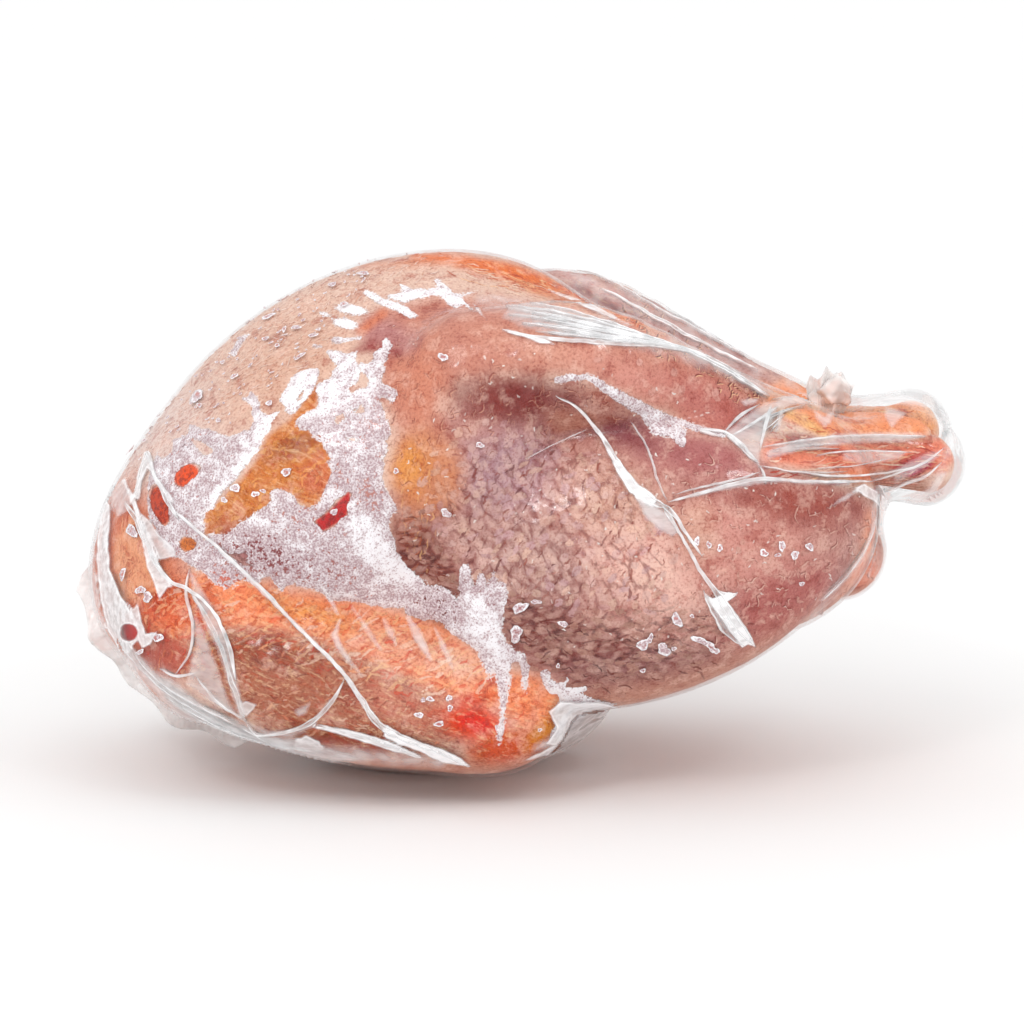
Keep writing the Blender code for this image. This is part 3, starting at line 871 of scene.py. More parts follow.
def skinRelief(points, across, down, depth):
    # how far the skin stands off its smooth form, in mm
    relief = skin["frostLift"] * eased(-10, 10, depth)
    slanted = np.column_stack((points[:, 0] * 0.35 + points[:, 2] * 0.2, points[:, 1] * 0.3,
                               points[:, 2] * 1.1 + points[:, 0] * 0.45))
    folds = 1 - 2 * np.abs(roughness(slanted, 6.0, 21, 3))
    relief += skin["streakDepth"] * folds * zoneShare("grain", across, down)
    for x, y in skin["pimples"]:
        gap = np.hypot(across - x, down - y) / skin["pimplePixels"]
        relief += skin["pimple"] * np.exp(-gap * gap)
    relief += skin["mottle"] * roughness(points, 17, 31, 3)
    return relief + 0.10 * roughness(points, 3.2, 35, 2)


def addSkin(materials):
    points = solvedGrid("skin")
    quads, triangles = gridFaces(spine["rows"], spine["columns"])
    outward = outwardOf(points, quads, triangles)
    traits, across, down, depth = skinTraits(points, outward)
    relief = skinRelief(points, across, down, depth)
    points = rested(points + outward * relief[:, None], 0.6)
    piece = newPiece("bird_skin", points, quads, triangles, traits)
    for material in materials:
        piece.data.materials.append(material)
    indices = np.concatenate((finishOf(traits, quads), finishOf(traits, triangles)))
    piece.data.polygons.foreach_set("material_index", indices.astype(np.int32))
    return piece


# Fine marks on the skin: gaps between scales, cracks, hairs, streaks, painted glints, and painted
# highlights beside the cracks

marks = {
    "lift": 0.13, "edge": 0.09, "sink": 0.35,     # mm
    "steps": 5,                  # rings along each mark
    "halfWidth": 0.7, "tip": 0.96,     # of its width; where its end rings stand, of 1
    "jitter": 0.42,              # of the lattice's pitch
    # the mark beside a crack is a pale copy of it: a painted highlight along one side of the crack
    "besideShift": (1.1, 0.9),   # pixels from a mark to the one that lies beside it
    "apart": (6, 2),             # widths and mm between rings, past which it bridges two forms
}
thighLow = ((395, 505), (425, 520), (470, 590), (520, 598), (600, 618), (700, 606), (745, 622),
            (700, 668), (610, 694), (540, 672), (490, 630), (430, 600), (404, 568))
breastFront = ((112, 505), (132, 440), (200, 350), (280, 285), (360, 255), (450, 252), (440, 275),
               (380, 300), (330, 345), (300, 372), (250, 392), (185, 438))
# a kind with beside also draws a pale copy of each crack, shifted by besideShift: a painted highlight along
# one side
markKinds = (     # all lengths in pixels, leans in degrees up to the right
    {"where": ((420, 470), (452, 440), (500, 425), (560, 436), (612, 452), (650, 500), (672, 560),
               (655, 606), (600, 618), (520, 600), (470, 590), (430, 545)),
     "soft": 12, "lean": (36, 25), "pitch": (14, 9), "long": (8, 15), "wide": (4.0, 8.0),
     "tones": ((228, 192, 184), (214, 178, 182), (236, 200, 180)), "strength": (0.15, 0.6),
     "kept": 0.8, "bend": 0.05, "wiggle": 0.5},
    {"where": ((462, 480), (475, 446), (510, 432), (560, 440), (612, 455), (650, 505), (672, 560),
               (660, 606), (600, 622), (540, 600), (480, 592), (450, 560)),
     "soft": 10, "lean": (60, 10), "pitch": (10.5, 13), "long": (7, 15), "wide": (1.2, 2.8),
     "tones": ((140, 74, 66), (160, 92, 80), (122, 62, 60)), "strength": (0.3, 0.8),
     "kept": 0.6, "bend": 0.12, "wiggle": 0.7},
    {"where": ((430, 470), (500, 432), (620, 452), (672, 560), (620, 610), (480, 590)),
     "soft": 12, "lean": (40, 40), "pitch": (11, 9), "long": (3, 8), "wide": (0.9, 1.6),
     "tones": ((150, 84, 74), (176, 108, 98)), "strength": (0.3, 0.7),
     "kept": 0.4, "bend": 0.12, "wiggle": 0.5},
    {"where": thighLow,
     "soft": 12, "lean": (-6, 20), "pitch": (11, 6.5), "long": (8, 13), "wide": (4.5, 7.5),
     "tones": ((190, 148, 132), (176, 130, 118), (204, 162, 148)), "strength": (0.3, 0.8),
     "kept": 0.8, "bend": 0.06, "wiggle": 0.4},
    {"where": thighLow,
     "soft": 12, "lean": (-8, 18), "pitch": (11, 7), "long": (6, 15), "wide": (1.2, 2.8),
     "tones": ((104, 54, 50), (124, 68, 60), (96, 50, 50)), "strength": (0.3, 0.8),
     "kept": 0.55, "bend": 0.12, "wiggle": 0.8},
    {"where": ((392, 330), (430, 350), (520, 372), (600, 388), (640, 430), (600, 440), (540, 436),
               (470, 430), (420, 470), (396, 500), (388, 440)),
     "soft": 9, "lean": (40, 60), "pitch": (9, 9), "long": (4, 13), "wide": (0.9, 1.6),
     "tones": ((132, 58, 50), (150, 68, 54)), "strength": (0.25, 0.6), "kept": 0.5,
     "bend": 0.2, "wiggle": 1.5, "beside": (232, 176, 152)},
    {"where": ((560, 345), (640, 350), (700, 374), (744, 408), (720, 424), (660, 400), (600, 372)),
     "soft": 6, "lean": (0, 90), "pitch": (14, 14), "long": (5, 8), "wide": (6.0, 9.0),
     "tones": ((238, 192, 180),), "strength": (0.25, 0.6), "kept": 0.6, "bend": 0.1, "wiggle": 0.3},
    {"where": ((640, 300), (700, 340), (764, 392), (750, 408), (700, 374), (650, 352), (600, 330)),
     "soft": 6, "lean": (-30, 50), "pitch": (7, 7), "long": (3, 9), "wide": (0.9, 1.6),
     "tones": ((116, 50, 42), (140, 66, 50)), "strength": (0.5, 1.0), "kept": 0.7,
     "bend": 0.2, "wiggle": 1.2, "beside": (244, 198, 160)},
    {"where": ((650, 440), (757, 466), (860, 494), (880, 540), (860, 600), (800, 650), (700, 640),
               (676, 560), (660, 500)),
     "soft": 10, "lean": (20, 60), "pitch": (13, 12), "long": (4, 14), "wide": (0.9, 1.8),
     "tones": ((140, 66, 56), (156, 84, 74)), "strength": (0.25, 0.7), "kept": 0.5,
     "bend": 0.2, "wiggle": 1.4, "beside": (240, 206, 190)},
    {"where": ((660, 540), (720, 520), (800, 545), (860, 560), (820, 620), (760, 650), (680, 620)),
     "soft": 10, "lean": (20, 60), "pitch": (11, 10), "long": (4, 10), "wide": (2.0, 4.6),
     "tones": ((236, 192, 176), (228, 178, 164)), "strength": (0.2, 0.6), "kept": 0.7,
     "bend": 0.1, "wiggle": 0.8},
    {"where": breastFront,
     "soft": 8, "lean": (34, 14), "pitch": (8, 5.5), "long": (4, 13), "wide": (0.8, 1.5),
     "tones": ((252, 232, 222), (248, 222, 206)), "strength": (0.3, 0.9), "kept": 0.65,
     "bend": 0.08, "wiggle": 0.3},
    {"where": breastFront,
     "soft": 8, "lean": (36, 16), "pitch": (10, 8), "long": (4, 12), "wide": (0.8, 1.7),
     "tones": ((212, 150, 124), (200, 134, 110)), "strength": (0.25, 0.6), "kept": 0.5,
     "bend": 0.08, "wiggle": 0.3},
    {"where": ((150, 590), (205, 572), (262, 586), (331, 600), (404, 616), (470, 650), (496, 684),
               (440, 700), (360, 680), (290, 650), (190, 640)),
     "soft": 6, "lean": (28, 14), "pitch": (13, 6), "long": (8, 26), "wide": (1.4, 5.0),
     "tones": ((255, 208, 160), (255, 184, 140), (252, 226, 206)), "strength": (0.15, 0.6),
     "kept": 0.7, "bend": 0.08, "wiggle": 0.9},
    {"where": ((150, 590), (205, 572), (262, 586), (331, 600), (404, 616), (470, 650), (530, 690),
               (560, 720), (520, 752), (470, 750), (420, 712), (360, 680), (290, 650), (190, 640)),
     "soft": 6, "lean": (30, 16), "pitch": (14, 7), "long": (6, 20), "wide": (1.2, 4.0),
     "tones": ((226, 84, 50), (210, 74, 52), (196, 90, 58)), "strength": (0.15, 0.6),
     "kept": 0.65, "bend": 0.08, "wiggle": 0.9},
    {"where": ((190, 640), (290, 650), (360, 680), (430, 712), (460, 748), (400, 744), (300, 740),
               (230, 712), (196, 680)),
     "soft": 8, "lean": (10, 22), "pitch": (9, 6), "long": (4, 15), "wide": (1.0, 2.6),
     "tones": ((132, 68, 50), (230, 180, 148), (222, 148, 116), (244, 210, 186)),
     "strength": (0.2, 0.65), "kept": 0.65, "bend": 0.1, "wiggle": 0.7},
    {"where": ((316, 392), (296, 421), (267, 437), (232, 490), (202, 520), (209, 535), (241, 528),
               (276, 494), (300, 504), (328, 489), (335, 450), (312, 430)),
     "soft": 3, "lean": (42, 22), "pitch": (10, 7), "long": (5, 16), "wide": (1.4, 4.0),
     "tones": ((186, 106, 56), (250, 190, 116), (250, 176, 106)), "strength": (0.15, 0.5),
     "kept": 0.6, "bend": 0.1, "wiggle": 0.9},
    {"where": ((400, 440), (425, 445), (440, 520), (430, 590), (404, 560), (394, 500)),
     "soft": 5, "lean": (74, 12), "pitch": (9, 6), "long": (5, 14), "wide": (1.0, 2.2),
     "tones": ((206, 116, 76), (250, 196, 136)), "strength": (0.15, 0.45), "kept": 0.6,
     "bend": 0.1, "wiggle": 0.6},
    {"where": ((770, 436), (830, 432), (930, 440), (944, 470), (880, 496), (780, 480), (762, 462)),
     "soft": 4, "lean": (4, 12), "pitch": (12, 5), "long": (8, 26), "wide": (0.9, 2.2),
     "tones": ((255, 222, 200), (196, 84, 70), (255, 206, 170), (176, 66, 60)),
     "strength": (0.4, 0.95), "kept": 0.75, "bend": 0.06, "wiggle": 0.4},
    {"where": ((778, 406), (830, 404), (910, 408), (925, 432), (860, 436), (800, 436)),
     "soft": 3, "lean": (-4, 14), "pitch": (9, 4.5), "long": (5, 14), "wide": (0.9, 2.0),
     "tones": ((255, 214, 170), (214, 104, 70), (196, 76, 56)), "strength": (0.4, 0.9),
     "kept": 0.75, "bend": 0.08, "wiggle": 0.5},
    {"where": ((470, 264), (550, 284), (620, 312), (668, 344), (600, 322), (540, 302), (440, 274)),
     "soft": 3, "lean": (-14, 8), "pitch": (9, 3.5), "long": (6, 18), "wide": (0.9, 1.8),
     "tones": ((255, 206, 160), (206, 96, 56), (255, 228, 206)), "strength": (0.4, 0.9),
     "kept": 0.7, "bend": 0.05, "wiggle": 0.3},
    {"where": ((116, 520), (134, 515), (150, 560), (176, 580), (214, 600), (216, 660), (180, 684),
               (150, 672), (138, 630), (118, 590)),
     "soft": 3, "lean": (62, 26), "pitch": (11, 6), "long": (5, 18), "wide": (1.2, 4.0),
     "tones": ((206, 72, 44), (252, 190, 150), (240, 150, 104), (196, 84, 56)),
     "strength": (0.2, 0.7), "kept": 0.75, "bend": 0.12, "wiggle": 0.9},
    # white specks over the thigh and drumstick: ice crystals, and painted glints where the film catches the
    # light
    {"where": ((392, 330), (560, 350), (700, 400), (850, 490), (870, 580), (700, 650), (520, 650),
               (410, 540)),
     "soft": 12, "lean": (50, 60), "pitch": (13, 13), "long": (1.6, 5), "wide": (1.1, 1.8),
     "tones": ((255, 246, 240),), "strength": (0.4, 0.9), "kept": 0.3, "bend": 0.1,
     "wiggle": 0.4},
)


def markStrokes(seed):
    # the marks' middle lines, widths, colours and strengths: each kind on a jittered lattice
    # turned to its lean, thinned towards the edge of its place
    random = np.random.default_rng(seed)
    t = np.linspace(-0.5, 0.5, marks["steps"])
    paths, widths, colours, strengths = [], [], [], []
    for kind in markKinds:
        corners = np.array(kind["where"], float)
        low, high = corners.min(axis=0) - kind["soft"], corners.max(axis=0) + kind["soft"]
        reach = np.linalg.norm(high - low) / 2
        lean = math.radians(kind["lean"][0])
        i, j = np.meshgrid(*(np.arange(-reach, reach, step) for step in kind["pitch"]), indexing="ij")
        place = np.column_stack((i.ravel(), j.ravel()))
        jitter = random.uniform(-marks["jitter"], marks["jitter"], place.shape)
        place = place + jitter * kind["pitch"]
        spots = (low + high) / 2 + place @ np.array(((math.cos(lean), -math.sin(lean)),
                                                     (math.sin(lean), math.cos(lean))))
        depth = depthIn(spots[:, 0], spots[:, 1], ("outline", kind["where"]))
        chosen = random.uniform(0, 1, len(spots)) < kind["kept"] * eased(-kind["soft"], kind["soft"], depth)
        spots = spots[chosen & (frostDepth(spots[:, 0], spots[:, 1]) < 1)]
        count = len(spots)
        angle = (lean + np.radians(random.normal(0, kind["lean"][1], count)))[:, None]
        long = random.uniform(*kind["long"], count)[:, None]
        aside = kind["bend"] * random.normal(0, 1, (count, 1)) * (1 - 4 * t * t) * long
        aside = aside + kind["wiggle"] * random.normal(0, 1, (count, len(t)))
        x = spots[:, :1] + t * long * np.cos(angle) + aside * np.sin(angle)
        y = spots[:, 1:] - t * long * np.sin(angle) + aside * np.cos(angle)
        wide = random.uniform(*kind["wide"], count)
        choice = np.array([linear(colour) for colour in kind["tones"]])
        colour = choice[random.integers(0, len(choice), count)] * random.uniform(0.85, 1.15, (count, 1))
        strength = random.uniform(*kind["strength"], count)
        # a pale copy shifted beside each crack: painted highlight on one side of it
        if "beside" in kind:
            shiftX, shiftY = marks["besideShift"]
            x, y = np.vstack((x + shiftX, x)), np.vstack((y + shiftY, y))
            wide, strength = np.concatenate((wide, wide)), np.concatenate((strength, strength))
            colour = np.vstack((np.tile(linear(kind["beside"]), (count, 1)), colour))
        paths.append(np.stack((x, y), axis=-1))
        widths.append(wide)
        colours.append(colour)
        strengths.append(strength)
    return np.vstack(paths), np.concatenate(widths), np.vstack(colours), np.concatenate(strengths)


def addMarks(name, side, seed, material):
    # each mark is a lens: rings of left edge, raised middle, right edge and sunk keel, their
    # half width w sqrt(1 - u²), closed by a face at either end
    paths, wide, colour, strength = markStrokes(seed)
    steps = marks["steps"]
    base = onSurface("skin", paths.reshape(-1, 2), side)
    met = (np.abs(distanceTo("skin", base)) < sheet["missed"]).reshape(-1, steps).all(axis=1)
    outward = outwardAt("skin", base)
    apart = np.linalg.norm(np.diff(base.reshape(-1, steps, 3), axis=1), axis=2)
    widths, least = marks["apart"]
    met &= (apart < widths * wide[:, None] / view["pixelsPerMm"] + least).all(axis=1)
    traits, across, down, depth = skinTraits(base, outward)
    base = base + outward * skinRelief(base, across, down, depth)[:, None]
    attributes = {key: np.repeat(values[np.repeat(met, steps)], 4, axis=0)
                  for key, values in traits.items()}
    base = base.reshape(-1, steps, 3)[met]
    outward = outward.reshape(-1, steps, 3)[met]
    wide, colour, strength = wide[met], colour[met], strength[met]
    count = len(base)
    sideways = np.cross(np.gradient(base, axis=1), outward)
    sideways /= np.maximum(np.linalg.norm(sideways, axis=2), 1e-9)[..., None]
    u = np.linspace(-marks["tip"], marks["tip"], steps)
    half = marks["halfWidth"] * wide[:, None] / view["pixelsPerMm"] * np.sqrt(1 - u * u)
    half = half[..., None]
    edge = base + outward * marks["edge"]
    rings = np.stack((edge + sideways * half, base + outward * marks["lift"], edge - sideways * half,
                      base - outward * marks["sink"]), axis=2)
    points = rested(rings.reshape(-1, 3), 0.5)
    last = (steps - 1) * 4
    one = np.vstack((ringQuads(steps, 4)[:, backwards], (3, 2, 1, 0),
                     (last, last + 1, last + 2, last + 3)))
    quads = (np.arange(count)[:, None, None] * steps * 4 + one[None]).reshape(-1, 4)
    each = 4 * steps
    attributes["ink"] = np.repeat(np.clip(colour - veil, 0.006, 1), each, axis=0)
    attributes["body"] = np.tile((0.0, 1.0, 0.0, 0.0), count * steps)
    attributes["strength"] = np.repeat(strength, each)
    piece = newPiece(name, points, quads, None, attributes, material)
    piece.data.polygons.foreach_set("use_smooth", np.zeros(len(quads), bool))
    return piece


# The film

film = {
    "crinkle": 0.15,             # mm
    "looseCrinkle": 0.22,
    "overFrost": 0.35,
    "plainHaze": 0.03,
}
hazeShapes = (     # haze, softness, shape
    (0.16, 12, ("outline", ((110, 640), (150, 660), (215, 700), (240, 740), (180, 730), (120, 680)))),
    (0.26, 10, ("stroke", (10, 26, 26, 12), ((482, 300), (580, 322), (680, 345), (766, 388)))),
    (0.30, 5, ("stroke", (8, 10), ((800, 396), (905, 398)))),
    (0.25, 5, ("stroke", (6, 8, 6), ((944, 412), (952, 440), (934, 490)))),
    (0.10, 7, ("outline", ((722, 430), (760, 400), (812, 392), (806, 440), (758, 470)))),
    (0.12, 6, ("stroke", (8, 10), ((877, 508), (876, 566)))),
    (0.4, 7, ("stroke", (8, 16, 14, 8), ((170, 700), (230, 738), (310, 752), (440, 762)))),
    (0.5, 5, ("stroke", (4, 14, 6), ((535, 748), (575, 735), (618, 712)))),
)
farHaze = ((0.60, 5, ("stroke", (8, 14, 12), ((640, 290), (717, 334), (796, 372)))),
           (0.30, 6, ("stroke", (4, 14), ((560, 268), (640, 300)))))


def filmHaze(points):
    across, down = placesOn(points)
    haze = np.full(len(points), film["plainHaze"])
    patchy = 1 + 0.5 * roughness(points, 6, 71, 3)
    for amount, soft, shape in hazeShapes:
        haze = np.maximum(haze, amount * patchy * eased(-soft, soft, depthIn(across, down, shape)))
    trueAcross, trueDown = toPhoto(points)
    faces = eased(2, 9, points[:, 1])
    for amount, soft, shape in farHaze:
        depth = depthIn(trueAcross, trueDown, shape)
        haze = np.maximum(haze, amount * patchy * faces * eased(-soft, soft, depth))
    return haze


looseShapes = (    # where the film stands in small crinkles
    (12, ("outline", ((770, 390), (900, 390), (955, 430), (935, 500), (880, 512), (790, 470), (750, 430)))),
    (14, ("outline", ((95, 480), (160, 450), (230, 560), (235, 700), (330, 740), (240, 770), (90, 640)))),
)


def filmRelief(points, across, down):
    # how far the film stands off its smooth form, in mm
    relief = film["overFrost"] * eased(-4, 12, frostDepth(across, down))
    loose = np.zeros(len(points))
    for soft, shape in looseShapes:
        loose = np.maximum(loose, eased(-soft, soft, depthIn(across, down, shape)))
    ridged = 1 - 2 * np.abs(roughness(points * np.array((0.5, 1, 1)), 7, 61, 2))
    relief += film["crinkle"] * roughness(points, 11, 65, 2)
    return relief + film["looseCrinkle"] * loose * (0.3 + 0.7 * ridged)


def addFilm(material):
    points = solvedGrid("film")
    quads, triangles = gridFaces(spine["rows"], spine["columns"])
    outward = outwardOf(points, quads, triangles)
    across, down = placesOn(points)
    relief = filmRelief(points, across, down)
    points = rested(points + outward * relief[:, None], 0.05)
    piece = newPiece("clear_film", points, quads, triangles, {"haze": filmHaze(points)}, material)
    return piece


# Sheets over the photograph's pixels: the frost crust and the milky bands of film

sheet = {
    "step": 1.75,     # pixels
    "rim": 3.5,                             # pixels kept outside the edge
    "longest": 4.5,                         # mm, a cell's side; a longer one bridges two forms
    "missed": 2.5,                          # mm from the surface at which a ray counts as past it
    "topRest": 0.4, "lowRest": 0.2,         # mm above the floor, at least
    "deepRounds": 70,                       # of search, where the film is met aslant
}
crust = {"box": (100, 740, 268, 768), "thick": 0.60, "sunk": 0.55,     # pixels, mm
         "slope": 5.0, "rimSlope": 0.12}     # pixels to its full height; mm a pixel outside it
milk = {"box": (88, 962, 262, 772), "thick": 0.14, "sunk": 1.1,
        "nearOnly": ("outline", ((760, 370), (970, 370), (970, 430), (760, 430)))}


def onSurface(name, pixels, side=-1, rounds=30):
    # where the rays through the pixels meet a surface; side 1 looks from the mirrored eye
    flip = np.array((1.0, -float(side), 1.0))
    aimed = raysThrough(pixels) * flip
    origin = eye * flip
    reach = np.full(len(aimed), view["nearest"])
    for _ in range(rounds):
        reach = reach + 0.9 * distanceTo(name, origin + aimed * reach[:, None])
    return origin + aimed * reach[:, None]


def onFilm(pixels, side):
    # places on the creased film under the pixels, the way out, and which rays miss it
    base = onSurface("film", pixels, side)
    missed = np.abs(distanceTo("film", base)) > sheet["missed"]
    outward = outwardAt("film", base)
    across, down = placesOn(base)
    return base + outward * filmRelief(base, across, down)[:, None], outward, missed


def pixelSheet(surface, box, side, depthAt, heightAt, sunk, rounds=30):
    # cells of a pixel grid where depthAt is over the rim, lifted by heightAt; a sunk copy
    # and walls round the rim close it
    xs = np.arange(box[0], box[1], sheet["step"])
    ys = np.arange(box[2], box[3], sheet["step"])
    gridX, gridY = np.meshgrid(xs, ys, indexing="ij")
    across, down = gridX.ravel(), gridY.ravel()
    depth = depthAt(across, down)
    kept = (depth > -sheet["rim"]).reshape(gridX.shape)
    cell = kept[:-1, :-1] | kept[1:, :-1] | kept[:-1, 1:] | kept[1:, 1:]
    i, j = np.nonzero(cell)
    wide = len(ys)
    quads = np.stack((i * wide + j, (i + 1) * wide + j, (i + 1) * wide + j + 1, i * wide + j + 1), 1)
    used, inverse = np.unique(quads, return_inverse=True)
    quads = inverse.reshape(-1, 4)
    base = onSurface(surface, np.column_stack((across[used], down[used])), side, rounds=rounds)
    hit = np.abs(distanceTo(surface, base)) < sheet["missed"]
    corners = base[quads]
    longest = np.linalg.norm(corners - np.roll(corners, 1, axis=1), axis=2).max(axis=1)
    quads = quads[hit[quads].all(axis=1) & (longest < sheet["longest"])]
    kept, inverse = np.unique(quads, return_inverse=True)
    quads = inverse.reshape(-1, 4)
    used, base = used[kept], base[kept]
    across, down, depth = across[used], down[used], depth[used]
    outward = outwardAt(surface, base)
    if surface == "film":
        realAcross, realDown = placesOn(base)
        base = base + outward * filmRelief(base, realAcross, realDown)[:, None]
    top = rested(base + outward * heightAt(across, down, depth)[:, None], sheet["topRest"])
    low = rested(base - outward * sunk, sheet["lowRest"])
    ordered = np.concatenate([quads[:, (k, (k + 1) % 4)] for k in range(4)])
    edges = np.sort(ordered, axis=1)
    code = edges[:, 0] * len(used) + edges[:, 1]
    single, counts = np.unique(code, return_counts=True)
    rimSides = ordered[np.isin(code, single[counts == 1])]
    count = len(used)
    walls = np.column_stack((rimSides[:, 1], rimSides[:, 0], rimSides[:, 0] + count,
                             rimSides[:, 1] + count))
    return top, low, np.vstack((quads, quads[:, ::-1] + count, walls)), across, down, depth, outward


def addCrust(name, side, seed, material):
    def heightAt(across, down, depth):
        grainy = 0.8 + 0.2 * roughness(np.column_stack((across, down)), 8.0, 90 + seed, 2)
        height = np.clip(depth / crust["slope"], -0.4, 1.0) * crust["thick"] * grainy
        outside = skin["frostLift"] + depth * crust["rimSlope"]
        return np.where(depth < 0, outside, height + skin["frostLift"])

    def depthAt(across, down):
        return np.maximum(frostDepth(across, down, seed), windowDepth(across, down))

    top, low, quads, across, down, _, outward = pixelSheet(
        "skin", crust["box"], side, depthAt, heightAt, crust["sunk"])
    depth = frostDepth(across, down, seed)
    window = eased(-1.5, 1.0, windowDepth(across, down))
    traits, _, _, _ = skinTraits(top, outward, withFar=False)
    solid = frostSolidity(across, down)
    attributes = {"tone": np.vstack((traits["tone"], traits["tone"])),
                  "solid": np.concatenate((solid, solid)),
                  "window": np.concatenate((window, window)),
                  "depth": np.concatenate((depth, depth - 10)) / 10}
    piece = newPiece(name, np.vstack((top, low)), quads, None, attributes, material)
    return piece


